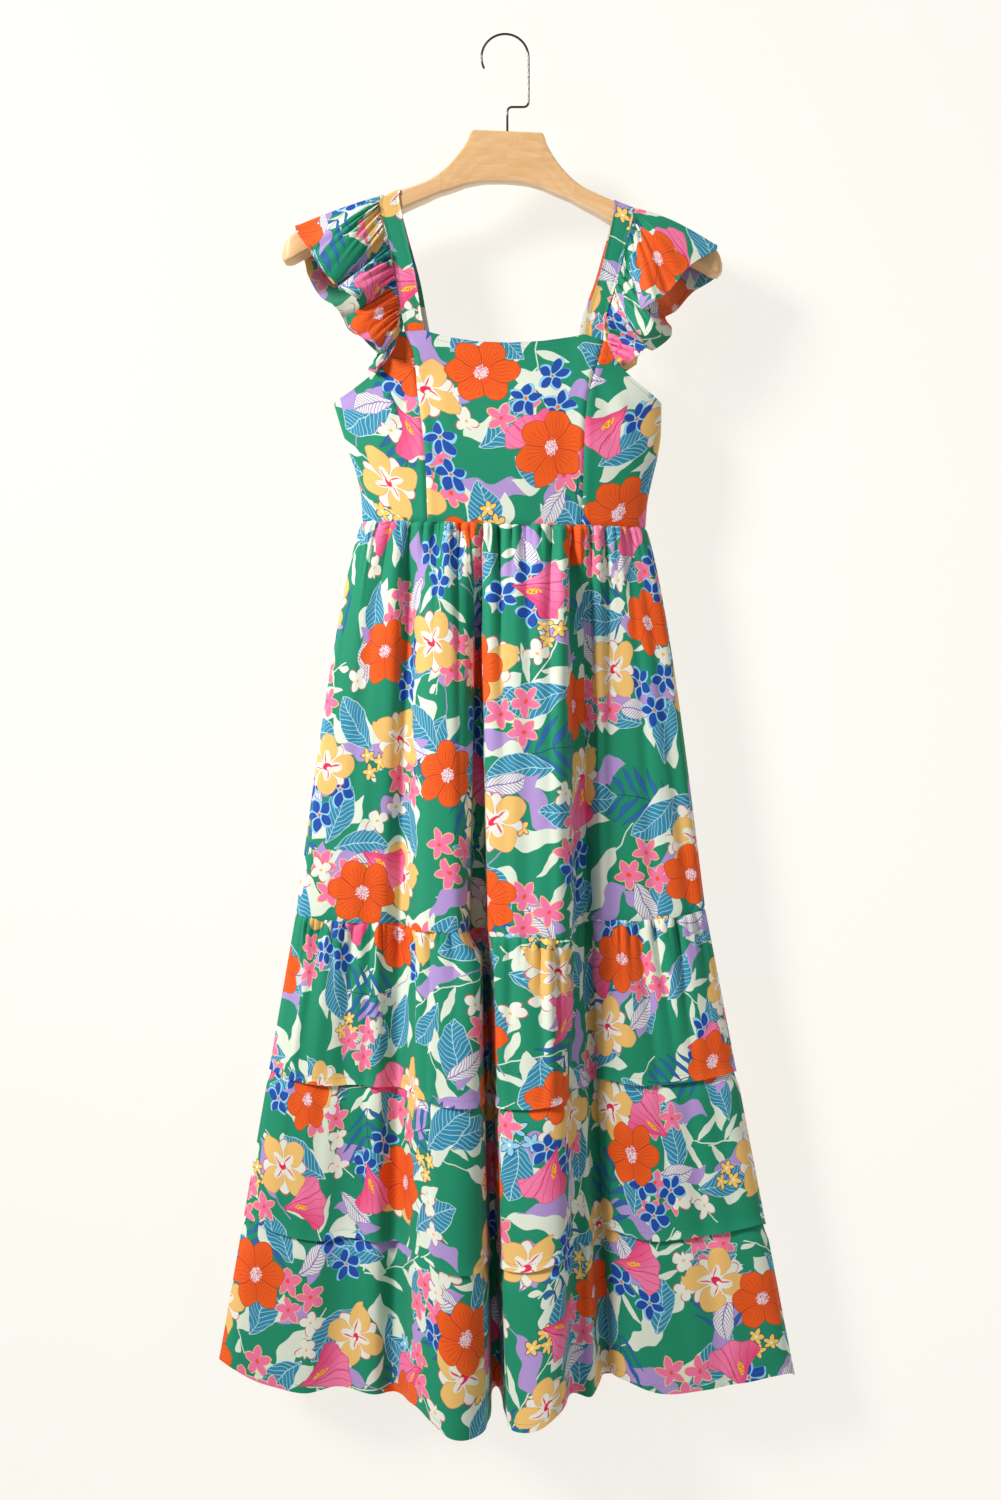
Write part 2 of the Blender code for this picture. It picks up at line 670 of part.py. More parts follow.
def hook(surface):
    route = hook_route()
    sides = 8
    vertices = []
    for i, (x, z) in enumerate(route):
        before = route[max(i - 1, 0)]
        after = route[min(i + 1, len(route) - 1)]
        dx, dz = after[0] - before[0], after[1] - before[1]
        length = math.hypot(dx, dz)
        nx, nz = -dz / length, dx / length
        for k in range(sides):
            a = 2 * math.pi * k / sides
            vertices.append((x + nx * WIRE_R * math.cos(a), WIRE_R * math.sin(a),
                             z + nz * WIRE_R * math.cos(a)))
    faces = []
    for i in range(len(route) - 1):
        for k in range(sides):
            a, b = i * sides + k, i * sides + (k + 1) % sides
            faces.append((a, b, b + sides, a + sides))
    faces.append(tuple(range(sides)))
    faces.append(tuple(len(vertices) - 1 - k for k in range(sides)))
    return add_object("hanger_hook", vertices, faces, surface)


def bore_for_hook(body):
    """The blind hole in the crown that holds the hook's foot."""
    foot_x = CROWN_X - 0.2
    sides = 12
    vertices = []
    for z in (CROWN_Z + 4.0, CROWN_Z - BOLT_BORE_DEPTH):
        for k in range(sides):
            a = 2 * math.pi * k / sides
            vertices.append((foot_x + BOLT_BORE_R * math.cos(a), BOLT_BORE_R * math.sin(a), z))
    faces = [tuple(range(sides)), tuple(range(2 * sides - 1, sides - 1, -1))]
    for k in range(sides):
        n = (k + 1) % sides
        faces.append((k, n, sides + n, sides + k))
    cutter = add_object("hook_bore_cutter", vertices, faces, body.data.materials[0])
    cutter.hide_render = True
    cutter.display_type = "WIRE"
    cut = body.modifiers.new("hook_bore", "BOOLEAN")
    cut.operation, cut.solver, cut.object = "DIFFERENCE", "EXACT", cutter


def build():
    for existing in list(bpy.data.objects):
        bpy.data.objects.remove(existing, do_unlink=True)

    print_green = material("printed_cloth", (0.026, 0.245, 0.165), 0.78)
    wood = material("beech", (0.80, 0.50, 0.23), 0.42)
    wire = material("polished_wire", (0.62, 0.62, 0.62), 0.15, 1.0)

    body = hanger_body(wood)
    bore_for_hook(body)
    hook(wire)

    points, normals = horizontal_normals(centre_front_grid(), -1, False)
    cloth("bodice_front_centre", points, normals, print_green)
    for right_side, name in ((False, "bodice_front_side_left"), (True, "bodice_front_side_right")):
        points, normals = horizontal_normals(side_front_grid(right_side), -1, False)
        edge = -1 if right_side else 0
        for k, row in enumerate(BODICE_ROWS):
            if row >= 1:
                normals[k, edge] = (1 if right_side else -1, 0, 0)
        cloth(name, points, normals, print_green)
    points, normals = horizontal_normals(back_grid(), 1, False)
    for k, row in enumerate(BODICE_ROWS):
        if row >= 1:
            normals[k, 0], normals[k, -1] = (-1, 0, 0), (1, 0, 0)
    cloth("bodice_back", points, normals, print_green)

    for right_side, name in ((False, "strap_left"), (True, "strap_right")):
        points, normals = full_normals(strap_grid(right_side))
        cloth(name, points, normals, print_green)
    for right_side, name in ((False, "ruffle_left"), (True, "ruffle_right")):
        points, normals = full_normals(ruffle_grid(right_side, 2, 4))
        cloth(name, points, normals, print_green)

    over = TUCK_OVERLAP / 480.0
    tier_1 = [(v, 0.0, step) for v, step in
              ((0.0, -GAP), (0.10, 0.0), (0.24, 0.0), (0.48, 0.0), (0.74, 0.0), (1.0, GAP / 2))]
    tier_2 = [(0.0, 0.0, -GAP / 2), (PUFF_V, 0.0, 0.0), (0.18, 0.0, 0.0), (TUCK_1 - over, 0.0, 0.0), (TUCK_1, 0.0, 0.0)]
    tier_3 = [(TUCK_1 - over, TUCK_DEPTH, 0.0), (TUCK_1 + 0.007, TUCK_DEPTH, 0.0),
              (TUCK_1 + 0.037, 0.0, 0.0), (TUCK_2 - over, 0.0, 0.0), (TUCK_2, 0.0, 0.0)]
    tier_4 = [(TUCK_2 - over, TUCK_DEPTH, 0.0), (TUCK_2 + 0.007, TUCK_DEPTH, 0.0),
              (TUCK_2 + 0.037, 0.0, 0.0), (1.0, 0.0, 0.0)]
    for folds, face in ((FRONT_FOLDS, "front"), (BACK_FOLDS, "back")):
        for number, rows in enumerate((tier_1, tier_2, tier_3, tier_4), 1):
            points, normals = tier_grid(folds, 2, rows, number == 1)
            cloth(f"skirt_tier_{number}_{face}", points, normals, print_green)


build()
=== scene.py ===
"""Looks of the tiered maxi dress on its wooden hanger.

Same frame as the solids: metres, +Z up, the dress faces -Y, origin at the inner
top of the hook. Sizes below are in millimetres until a mesh is made.
"""

import math

import bpy
import numpy as np
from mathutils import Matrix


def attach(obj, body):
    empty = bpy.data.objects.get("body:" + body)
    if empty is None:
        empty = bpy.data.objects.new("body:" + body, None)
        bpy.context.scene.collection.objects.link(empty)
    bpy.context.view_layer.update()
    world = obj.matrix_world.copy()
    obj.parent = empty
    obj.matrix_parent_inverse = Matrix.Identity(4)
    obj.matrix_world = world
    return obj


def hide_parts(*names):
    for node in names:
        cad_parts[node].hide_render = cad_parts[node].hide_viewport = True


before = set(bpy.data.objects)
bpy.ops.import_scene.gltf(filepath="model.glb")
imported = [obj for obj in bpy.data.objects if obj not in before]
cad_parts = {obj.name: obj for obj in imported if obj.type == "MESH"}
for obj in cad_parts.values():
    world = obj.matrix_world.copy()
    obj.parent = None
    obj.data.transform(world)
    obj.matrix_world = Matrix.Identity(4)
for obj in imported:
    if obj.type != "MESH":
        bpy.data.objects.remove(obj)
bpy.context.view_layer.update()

MM = 0.001

# ------------------------------------------------------------------ named sizes
CLOTH = 0.55          # thickness of the cloth
GAP = 0.3             # between two solids at a seam
TUCK_OVERLAP = 10.0
TUCK_DEPTH = 2.5
HEM_FOLD = 9.0        # width of the skirt's hem
TUCK_STITCH = 7.5      # height of a tuck's stitching over its fold
RUFFLE_FOLD = 3.2     # width of a ruffle's rolled hem

CROWN_X, CROWN_Z = 2.6, -100.5
HANGER_TILT = math.radians(2.36)
ARM_EDGE = 3.0
ARM_CLEAR = 1.25
LEFT_END_DROP = 5.0    # the left end is cut a little lower than the right one
WIRE_R = 1.2
HOOK_R = 24.2

WAIST_LEFT_Z, WAIST_RIGHT_Z, WAIST_SAG = -501.4, -508.2, 2.2
SEAM_Z = -911.0
HEM_Z = -1391.5
TUCK_1, TUCK_2 = 0.348, 0.677
PUFF_V = 0.06
SEAM_BOW = 0.11
DEPTH_FULL_Z = 85.0

HANGER = (
    # from_middle, top, bottom, thick
    (0.0, 0.0, -52.0, 16.0),
    (20.0, 0.0, -53.0, 16.0),
    (34.5, 0.0, -56.0, 16.0),
    (37.0, -2.0, -56.6, 16.0),
    (41.0, -12.0, -57.8, 16.5),
    (47.0, -22.0, -60.3, 17.0),
    (56.0, -34.0, -63.8, 18.0),
    (68.0, -46.0, -68.0, 19.0),
    (80.0, -54.5, -74.0, 20.5),
    (95.0, -61.5, -81.0, 22.5),
    (110.0, -67.5, -89.0, 24.0),
    (127.0, -74.0, -97.0, 25.5),
    (160.0, -87.5, -111.5, 28.0),
    (195.0, -102.0, -127.5, 30.0),
    (208.0, -107.5, -133.5, 30.5),
    (217.0, -113.0, -138.0, 29.0),
    (222.5, -119.5, -139.0, 25.0),
    (225.5, -126.0, -136.5, 16.0),
)

ARMHOLE = (
    # row, left_x, right_x
    (0.00, -107.5, 104.5),
    (0.20, -112.5, 109.5),
    (0.38, -120.0, 117.0),
    (0.55, -132.0, 127.0),
    (0.78, -152.0, 144.0),
    (1.00, -176.0, 161.0),
)
SIDE_SEAM = (
    # row, left_x, right_x
    (1.00, -176.0, 161.0),
    (1.22, -168.0, 160.5),
    (1.42, -160.0, 157.0),
    (1.62, -152.0, 151.0),
    (1.82, -147.5, 146.0),
    (2.00, -146.5, 144.5),
)
PRINCESS = (
    # row, left_x, right_x
    (0.00, -102.6, 100.4),
    (0.30, -94.0, 95.0),
    (0.57, -91.0, 89.5),
    (0.90, -89.0, 84.5),
    (1.25, -84.0, 81.0),
    (1.50, -81.0, 80.0),
    (2.00, -79.0, 78.0),
)
NECKLINE = (
    # x, front_z
    (-107.5, -309.3),
    (-102.6, -308.3),
    (-82.0, -307.6),
    (-76.0, -309.8),
    (-55.0, -315.0),
    (-30.0, -319.0),
    (5.0, -320.4),
    (39.0, -318.4),
    (68.0, -314.2),
    (81.0, -311.6),
    (100.4, -317.2),
    (104.5, -318.6),
)
BACK_NECKLINE = (
    # x, back_z
    (-107.5, -310.0),
    (-97.0, -309.0),
    (-76.5, -310.0),
    (-70.0, -314.0),
    (-35.0, -324.5),
    (2.0, -327.0),
    (38.0, -325.5),
    (68.0, -318.0),
    (75.5, -314.5),
    (95.0, -317.5),
    (104.5, -319.0),
)
UNDERARM_Z = -380.0
BODICE_DEPTH = (
    # row, front, back
    (0.00, 17.5, 17.0),
    (0.50, 19.5, 18.5),
    (1.00, 27.0, 23.5),
    (1.50, 33.0, 27.0),
    (2.00, 31.0, 26.0),
)

STRAP_LEFT = (
    # z, front_outer, front_inner, back_outer, back_inner
    (-285.0, -106.6, -86.6, -101.5, -81.5),
    (-250.0, -111.8, -92.0, -108.0, -88.0),
    (-215.0, -119.0, -100.0, -117.0, -97.5),
)
STRAP_RIGHT = (
    # z, front_outer, front_inner, back_outer, back_inner
    (-287.0, 104.8, 85.4, 100.5, 80.5),
    (-250.0, 116.5, 97.0, 113.5, 93.5),
    (-218.0, 123.5, 105.0, 121.5, 102.5),
)
STRAP_LEFT_ON_ARM = (-127.5, -107.5)
STRAP_RIGHT_ON_ARM = (131.5, 112.5)

RUFFLE_LEFT = (
    # name, seam, x, y, z
    ("front_end", 0.00, -126.0, -15.5, -338.0),
    ("curl_low", 0.05, -130.1, -27.0, -348.1),
    ("curl_out", 0.10, -139.6, -22.0, -348.6),
    ("curl_back", 0.14, -133.8, -17.0, -338.0),
    ("tuck_3", 0.18, -125.3, -22.0, -332.3),
    ("lobe_3_low", 0.22, -120.6, -33.0, -333.1),
    ("lobe_3_a", 0.26, -129.2, -41.0, -328.2),
    ("lobe_3_b", 0.31, -142.1, -44.0, -321.7),
    ("lobe_3_c", 0.36, -154.5, -41.0, -313.0),
    ("lobe_3_out", 0.41, -160.1, -33.0, -302.7),
    ("lobe_3_back", 0.45, -157.2, -25.0, -293.3),
    ("tuck_2", 0.49, -149.1, -31.0, -288.0),
    ("lobe_2_low", 0.53, -149.3, -43.0, -281.7),
    ("lobe_2_a", 0.57, -158.1, -46.0, -276.4),
    ("lobe_2_out", 0.61, -168.2, -39.0, -270.7),
    ("lobe_2_back", 0.65, -163.7, -27.0, -262.7),
    ("crease", 0.69, -155.3, -17.0, -255.2),
    ("lobe_1_under", 0.72, -161.8, -25.0, -255.1),
    ("lobe_1_low", 0.75, -170.9, -38.0, -265.9),
    ("lobe_1_a", 0.79, -181.0, -38.0, -255.8),
    ("lobe_1_b", 0.83, -191.4, -34.0, -241.1),
    ("lobe_1_c", 0.87, -202.2, -28.0, -223.4),
    ("arm_front", 0.90, 0.0, 0.0, 0.0),
    ("arm_back", 1.10, 0.0, 0.0, 0.0),
    ("back_high", 1.18, -208.5, 25.0, -228.0),
    ("back_mid", 1.27, -205.5, 29.0, -241.0),
    ("back_crest_1", 1.37, -194.0, 38.0, -260.0),
    ("back_tuck_1", 1.50, -176.0, 25.0, -275.0),
    ("back_crest_2", 1.62, -163.5, 38.0, -295.5),
    ("back_tuck_2", 1.73, -149.0, 21.0, -307.0),
    ("back_crest_3", 1.86, -133.5, 31.0, -322.0),
    ("back_end", 2.00, -126.0, 16.0, -338.0),
)
RUFFLE_RIGHT = (
    # name, seam, x, y, z
    ("front_end", 0.00, 123.5, -15.5, -344.0),
    ("lobe_3_low", 0.06, 120.9, -26.0, -341.3),
    ("lobe_3_a", 0.11, 129.7, -32.0, -342.0),
    ("lobe_3_b", 0.16, 137.8, -31.0, -333.2),
    ("lobe_3_out", 0.21, 144.0, -23.0, -323.9),
    ("lobe_3_back", 0.26, 135.8, -17.0, -314.5),
    ("tuck_2", 0.31, 127.7, -23.0, -306.6),
    ("curl_in", 0.36, 133.8, -31.0, -311.9),
    ("lobe_2_low", 0.41, 141.5, -36.0, -317.5),
    ("lobe_2_a", 0.46, 147.5, -37.0, -311.6),
    ("lobe_2_out", 0.51, 149.4, -32.0, -300.4),
    ("lobe_2_back", 0.56, 147.5, -24.0, -288.5),
    ("crease", 0.61, 143.0, -16.0, -277.5),
    ("lobe_1_under", 0.66, 134.3, -24.0, -281.4),
    ("lobe_1_turn", 0.70, 137.8, -38.0, -290.6),
    ("lobe_1_low", 0.74, 145.0, -43.0, -287.2),
    ("lobe_1_a", 0.78, 155.2, -42.0, -281.0),
    ("lobe_1_b", 0.82, 165.6, -38.0, -272.0),
    ("lobe_1_c", 0.85, 177.1, -34.0, -257.8),
    ("lobe_1_d", 0.88, 190.5, -29.0, -242.0),
    ("arm_front", 0.90, 0.0, 0.0, 0.0),
    ("arm_back", 1.10, 0.0, 0.0, 0.0),
    ("back_high", 1.17, 219.5, 25.0, -243.0),
    ("back_mid", 1.24, 196.5, 29.0, -257.7),
    ("back_crest_1", 1.34, 179.4, 36.0, -276.0),
    ("back_tuck_1", 1.45, 167.0, 22.0, -285.5),
    ("back_crest_2", 1.58, 175.0, 38.0, -300.0),
    ("back_low", 1.72, 156.0, 34.0, -317.0),
    ("back_tuck_2", 1.82, 141.0, 21.0, -320.0),
    ("back_crest_3", 1.90, 136.0, 28.0, -334.0),
    ("back_end", 2.00, 123.5, 16.0, -344.0),
)
RUFFLE_HEM_ON_ARM = (-213.0, 219.0)
RUFFLE_BULGE = 0.05
RUFFLE_ARCH = (1.5, 5.5)  # over the left and the right arm

FRONT_FOLDS = (
    # name, waist_x, seam_x, hem_x, depth_waist, depth_seam, depth_hem, seam_drop, hem_drop, puff
    ("side_left", -146.5, -215, -294, 0, 0, 0, -6, -28, 0),
    ("turn_left", -142, -207, -282, -8, -9, -10, -4, -23, 0),
    ("wing_left_a", -131, -190, -252, -14, -15, -15, 0, -9, 0),
    ("wing_left_b", -122, -168, -205, -16, -17, -19, 1, 1, 0),
    ("wing_left_c", -114, -146, -171, -17, -18, -12, 2, -4, 0),
    ("wing_left_d", -106, -125, -135, -18, -20, -19, 2, 2, 0),
    ("foot_a", -95, -106, -111, -13, -10, -9, 4, 3, 0),
    ("ridge_a_left", -72, -88, -86, -34, -44, -54, 8, 6, 0),
    ("ridge_a", -56, -62, -53, -38, -56, -74, 8, 28, 0),
    ("ridge_a_right", -41, -42, -21, -29, -50, -58, 10, 26, 14),
    ("valley_a_left", -34, -35, -12, -13, -8, -8, 9, 1, 12),
    ("valley_a_right", -22, -19, -4, -13, -8, -8, 9, 4, 2),
    ("ridge_b_left", -13, -11, 4, -42, -48, -56, 13, 22, 0),
    ("ridge_b", 25, 28, 30, -48, -60, -76, 14, 20, 0),
    ("ridge_b_right", 59, 62, 56, -45, -56, -70, 13, 3, 0),
    ("step_top", 68, 71, 67, -22, -24, -37, 7, -5, 0),
    ("step_foot", 73, 78, 88, -14, -13, -38, 3, -2, 0),
    ("valley_b", 80, 85, 103, -12, -8, -8, 1, -17, 0),
    ("wing_right_a", 92, 97, 120, -20, -23, -26, -1, -15, 0),
    ("wing_right_b", 107, 127, 165, -18, -20, -25, 0, 0, 0),
    ("wing_right_c", 125, 172, 240, -15, -17, -17, -2, -8, 0),
    ("turn_right", 140, 199, 287, -8, -10, -11, -8, -16, 0),
    ("side_right", 144.5, 206, 298, 0, 0, 0, -11, -12, 0),
)
BACK_FOLDS = (
    # name, waist_x, seam_x, hem_x, depth_waist, depth_seam, depth_hem, seam_drop, hem_drop, puff
    ("side_left", -146.5, -215, -294, 0, 0, 0, -6, -28, 0),
    ("turn_left", -142, -208, -283, 8, 9, 10, -4, -23, 0),
    ("back_a", -124, -180, -232, 24, 34, 40, 0, -6, 0),
    ("back_b", -103, -141, -175, 18, 25, 28, 0, 0, 0),
    ("back_c", -79, -103, -118, 26, 38, 46, 1, 2, 0),
    ("back_d", -55, -62, -57, 20, 27, 29, 2, 0, 0),
    ("back_e", -26, -18, 0, 27, 41, 50, 1, 2, 0),
    ("back_f", 3, 24, 53, 20, 26, 29, 0, 0, 0),
    ("back_g", 31, 67, 110, 26, 38, 46, 0, 2, 0),
    ("back_h", 65, 113, 170, 19, 26, 29, -1, 0, 0),
    ("back_i", 101, 162, 237, 24, 33, 40, -4, -4, 0),
    ("turn_right", 140, 199, 286, 8, 9, 10, -8, -12, 0),
    ("side_right", 144.5, 206, 298, 0, 0, 0, -11, -12, 0),
)

# What each piece was cut to, before it was gathered and sewn: width and length.
# A skirt panel is cut a little wider than the cloth along its widest row.
CUT = {
    "skirt_tier_1_front": (590.0, 415.0),
    "skirt_tier_2_front": (840.0, 182.0),
    "skirt_tier_3_front": (840.0, 180.0),
    "skirt_tier_4_front": (840.0, 176.0),
    "skirt_tier_1_back": (470.0, 415.0),
    "skirt_tier_2_back": (650.0, 182.0),
    "skirt_tier_3_back": (650.0, 180.0),
    "skirt_tier_4_back": (650.0, 176.0),
    "bodice_front_centre": (205.0, 206.0),
    "bodice_front_side_left": (98.0, 204.0),
    "bodice_front_side_right": (90.0, 204.0),
    "bodice_back": (350.0, 206.0),
    "strap_left": (20.5, 320.0),
    "strap_right": (20.5, 314.0),
    "ruffle_left": (520.0, 98.0),
    "ruffle_right": (540.0, 106.0),
}
# Where each piece lies on the printed cloth, and how it is turned there.
LAYOUT = {
    # name: (across, along, turn in degrees)
    "skirt_tier_1_front": (0.0, 0.0, 0.0),
    "skirt_tier_2_front": (-140.0, 520.0, 0.0),
    "skirt_tier_3_front": (-140.0, 702.0, 0.0),
    "skirt_tier_4_front": (-140.0, 882.0, 0.0),
    "skirt_tier_1_back": (900.0, 40.0, 0.0),
    "skirt_tier_2_back": (900.0, 560.0, 0.0),
    "skirt_tier_3_back": (900.0, 742.0, 0.0),
    "skirt_tier_4_back": (900.0, 922.0, 0.0),
    "bodice_front_centre": (230.0, 1290.0, 0.0),
    "bodice_front_side_left": (60.0, 1330.0, 0.0),
    "bodice_front_side_right": (480.0, 1310.0, 0.0),
    "bodice_back": (760.0, 1250.0, 0.0),
    "strap_left": (1320.0, 1180.0, 0.0),
    "strap_right": (1380.0, 1210.0, 0.0),
    "ruffle_left": (40.0, 1640.0, 8.0),
    "ruffle_right": (680.0, 1660.0, -6.0),
}


# ------------------------------------------------------------------ small maths
def column(rows, index):
    return np.array([row[index] for row in rows], float)


def straight(rows, index, key, at):
    """A table's column, straight between its rows."""
    return np.interp(at, column(rows, key), column(rows, index))


def along_rows(values, at, held=()):
    """Values given at whole numbers, read on a smooth curve through them. The
    curve rests at the rows that held names."""
    values = np.asarray(values, float)
    last = len(values) - 1
    i = np.clip(np.floor(at).astype(int), 0, last - 1)
    f = at - i
    p1, p2 = values[i], values[i + 1]
    p0 = np.where(i > 0, values[np.maximum(i - 1, 0)], 2 * p1 - p2)
    p3 = np.where(i + 2 <= last, values[np.minimum(i + 2, last)], 2 * p2 - p1)
    m1, m2 = (p2 - p0) / 2, (p3 - p1) / 2
    for row in held:
        m1 = np.where(i == row, 0.0, m1)
        m2 = np.where(i + 1 == row, 0.0, m2)
    f2, f3 = f * f, f * f * f
    return ((2 * f3 - 3 * f2 + 1) * p1 + (f3 - 2 * f2 + f) * m1
            + (3 * f2 - 2 * f3) * p2 + (f3 - f2) * m2)


def soft_table(rows, index, key, at):
    """A table's column on a smooth curve that doesn't overshoot its rows."""
    x, y = column(rows, key), column(rows, index)
    h, d = np.diff(x), np.diff(y) / np.diff(x)
    m = np.zeros_like(y)
    m[0], m[-1] = d[0], d[-1]
    same = d[:-1] * d[1:] > 0
    w1, w2 = 2 * h[1:] + h[:-1], h[1:] + 2 * h[:-1]
    m[1:-1] = np.where(same, (w1 + w2) / (w1 / np.where(same, d[:-1], 1) + w2 / np.where(same, d[1:], 1)), 0)
    at = np.clip(at, x[0], x[-1])
    i = np.clip(np.searchsorted(x, at, side="right") - 1, 0, len(x) - 2)
    t = (at - x[i]) / h[i]
    t2, t3 = t * t, t * t * t
    return ((2 * t3 - 3 * t2 + 1) * y[i] + (t3 - 2 * t2 + t) * h[i] * m[i]
            + (3 * t2 - 2 * t3) * y[i + 1] + (t3 - t2) * h[i] * m[i + 1])


def smooth(value):
    value = np.clip(value, 0.0, 1.0)
    return value * value * (3 - 2 * value)


def mix(a, b, t):
    return a + (b - a) * t


def bump(value):
    """One soft ridge: 1 at nought, gone past 2 or so."""
    return np.exp(-value * value)


def lengths(points, axis):
    """Distance run along a grid from its first row or column."""
    step = np.linalg.norm(np.diff(points, axis=axis), axis=-1)
    zero = np.zeros_like(np.take(step, [0], axis=axis))
    return np.cumsum(np.concatenate([zero, step], axis=axis), axis=axis)


def surface_normals(points, towards=None):
    """Unit normals of a grid. towards, a direction, picks their side."""
    a, b = np.gradient(points, axis=0), np.gradient(points, axis=1)
    n = np.cross(a, b)
    n /= np.maximum(np.linalg.norm(n, axis=-1, keepdims=True), 1e-9)
    if towards is not None:
        middle = (n * np.asarray(towards, float)).sum(-1).mean()
        n = n if middle > 0 else -n
    return n


def even_places(line, count):
    """count places along a line of points, evenly spaced by distance. Returns
    the places as fractional indices of the line."""
    run = np.concatenate([[0.0], np.cumsum(np.linalg.norm(np.diff(line, axis=0), axis=1))])
    return np.interp(np.linspace(0, run[-1], count), run, np.arange(len(line)))


# ------------------------------------------------------------------ the hanger
def hanger_profile(along):
    at = np.abs(along)
    return tuple(straight(HANGER, c, 0, at) for c in (1, 2, 3))


def hanger_world(along, y, level_z):
    c, s = math.cos(HANGER_TILT), math.sin(HANGER_TILT)
    return np.stack(np.broadcast_arrays(
        CROWN_X + along * c + level_z * s, y, CROWN_Z - along * s + level_z * c), axis=-1)


def arm_wrap(along, face_drop):
    """Nine points over the arm from front to back, clear of the wood."""
    at = min(abs(along), 208.0)
    half = float(hanger_profile(at)[2]) / 2
    top_in, top_out = float(hanger_profile(127.0)[0]), float(hanger_profile(208.0)[0])
    top = top_in + (abs(along) - 127.0) * (top_out - top_in) / 81.0
    if abs(along) < 127.0:
        top = float(hanger_profile(along)[0])
    r = ARM_EDGE + ARM_CLEAR
    centre_y, centre_z = half - ARM_EDGE, top - ARM_EDGE
    front = [(-centre_y - r, top - face_drop)]
    front += [(-centre_y - r * math.cos(a), centre_z + r * math.sin(a))
              for a in (0.0, math.radians(45), math.radians(90))]
    path = front + [(0.0, top + ARM_CLEAR)] + [(-y, z) for y, z in reversed(front)]
    return np.array([hanger_world(along, y, z) for y, z in path])


# ------------------------------------------------------------------ the bodice
def waist_z(x):
    t = (x - SIDE_SEAM[-1][1]) / (SIDE_SEAM[-1][2] - SIDE_SEAM[-1][1])
    return mix(WAIST_LEFT_Z, WAIST_RIGHT_Z, t) - WAIST_SAG * (1 - (2 * t - 1) ** 2)


def side_x(row, right):
    index = 2 if right else 1
    return np.where(row >= 1, soft_table(SIDE_SEAM, index, 0, row), soft_table(ARMHOLE, index, 0, row))


def bodice_depth(x, row, back):
    left, right = side_x(np.maximum(row, 1.0), False), side_x(np.maximum(row, 1.0), True)
    t = np.minimum(np.abs((x - (left + right) / 2) / ((right - left) / 2)), 1.0)
    depth = soft_table(BODICE_DEPTH, 2 if back else 1, 0, row)
    return depth * np.sqrt(np.maximum(1 - t ** 2.3, 0.0)) * (1 if back else -1)


def neck_z(x, back):
    return straight(BACK_NECKLINE if back else NECKLINE, 1, 0, x)


def bodice_points(x, row, back, top_z):
    z = np.where(row <= 1, mix(top_z, UNDERARM_Z, np.minimum(row, 1.0)),
                 mix(UNDERARM_Z, waist_z(x), np.maximum(row, 1.0) - 1))
    return np.stack([x, bodice_depth(x, row, back), z], axis=-1)


# ------------------------------------------------------------------ the skirt
def skirt_points(folds, at, v, tier_1):
    """The skirt's middle surface for grids of fold place and height share."""
    c = {k: along_rows(column(folds, k), at) for k in range(1, 10)}
    seam_z, hem_z = SEAM_Z - c[7], HEM_Z - c[8]
    if not tier_1:
        puff = c[9] * smooth(v / PUFF_V) * (1 - v)
        return np.stack([mix(c[2], c[3], v) + puff, mix(c[5], c[6], v), mix(seam_z, hem_z, v)], axis=-1)
    top = waist_z(c[1])
    z = mix(top, seam_z, v)
    spread = v + SEAM_BOW * np.sin(math.pi * np.maximum(v, 0) ** 0.6) * (v > 0)
    at_waist = bodice_depth(c[1], np.full_like(c[1], 2.0), folds is BACK_FOLDS)
    deep = mix(c[4], c[5], np.maximum(0.0, top - z - DEPTH_FULL_Z) / (top - seam_z - DEPTH_FULL_Z))
    y = mix(at_waist, deep, smooth((top - z) / DEPTH_FULL_Z))
    return np.stack([mix(c[1], c[2], spread), y, z], axis=-1)


def level_normals(points, outward_y):
    """Level normals of a grid on the side that outward_y names, straight out
    sideways at its two ends."""
    along = np.gradient(points, axis=1)
    n = np.stack([along[..., 1], -along[..., 0], np.zeros(along.shape[:2])], axis=-1)
    if outward_y > 0:
        n = -n
    n /= np.maximum(np.linalg.norm(n, axis=-1, keepdims=True), 1e-9)
    n[:, 0], n[:, -1] = (-1, 0, 0), (1, 0, 0)
    return n


# Gathers under a seam: rounded ridges that meet in sharp creases. Small ones fade
# soon, and the cloth goes on in fewer and taller ones. Each row: how far apart the
# creases are, how high the ridges stand and how far down they run, small then tall.
GATHERS = {
    # name: (small_pitch, small_height, small_run, tall_pitch, tall_height, tall_run)
    "waist_front": (8.6, 4.4, 46.0, 20.0, 9.6, 200.0),
    "waist_back": (9.6, 3.2, 42.0, 22.0, 7.6, 180.0),
    "tier_front": (9.4, 3.8, 30.0, 23.0, 7.4, 105.0),
    "tier_back": (10.4, 3.3, 30.0, 25.0, 6.6, 100.0),
    "ruffle": (4.8, 2.9, 13.0, 12.5, 5.4, 40.0),
}


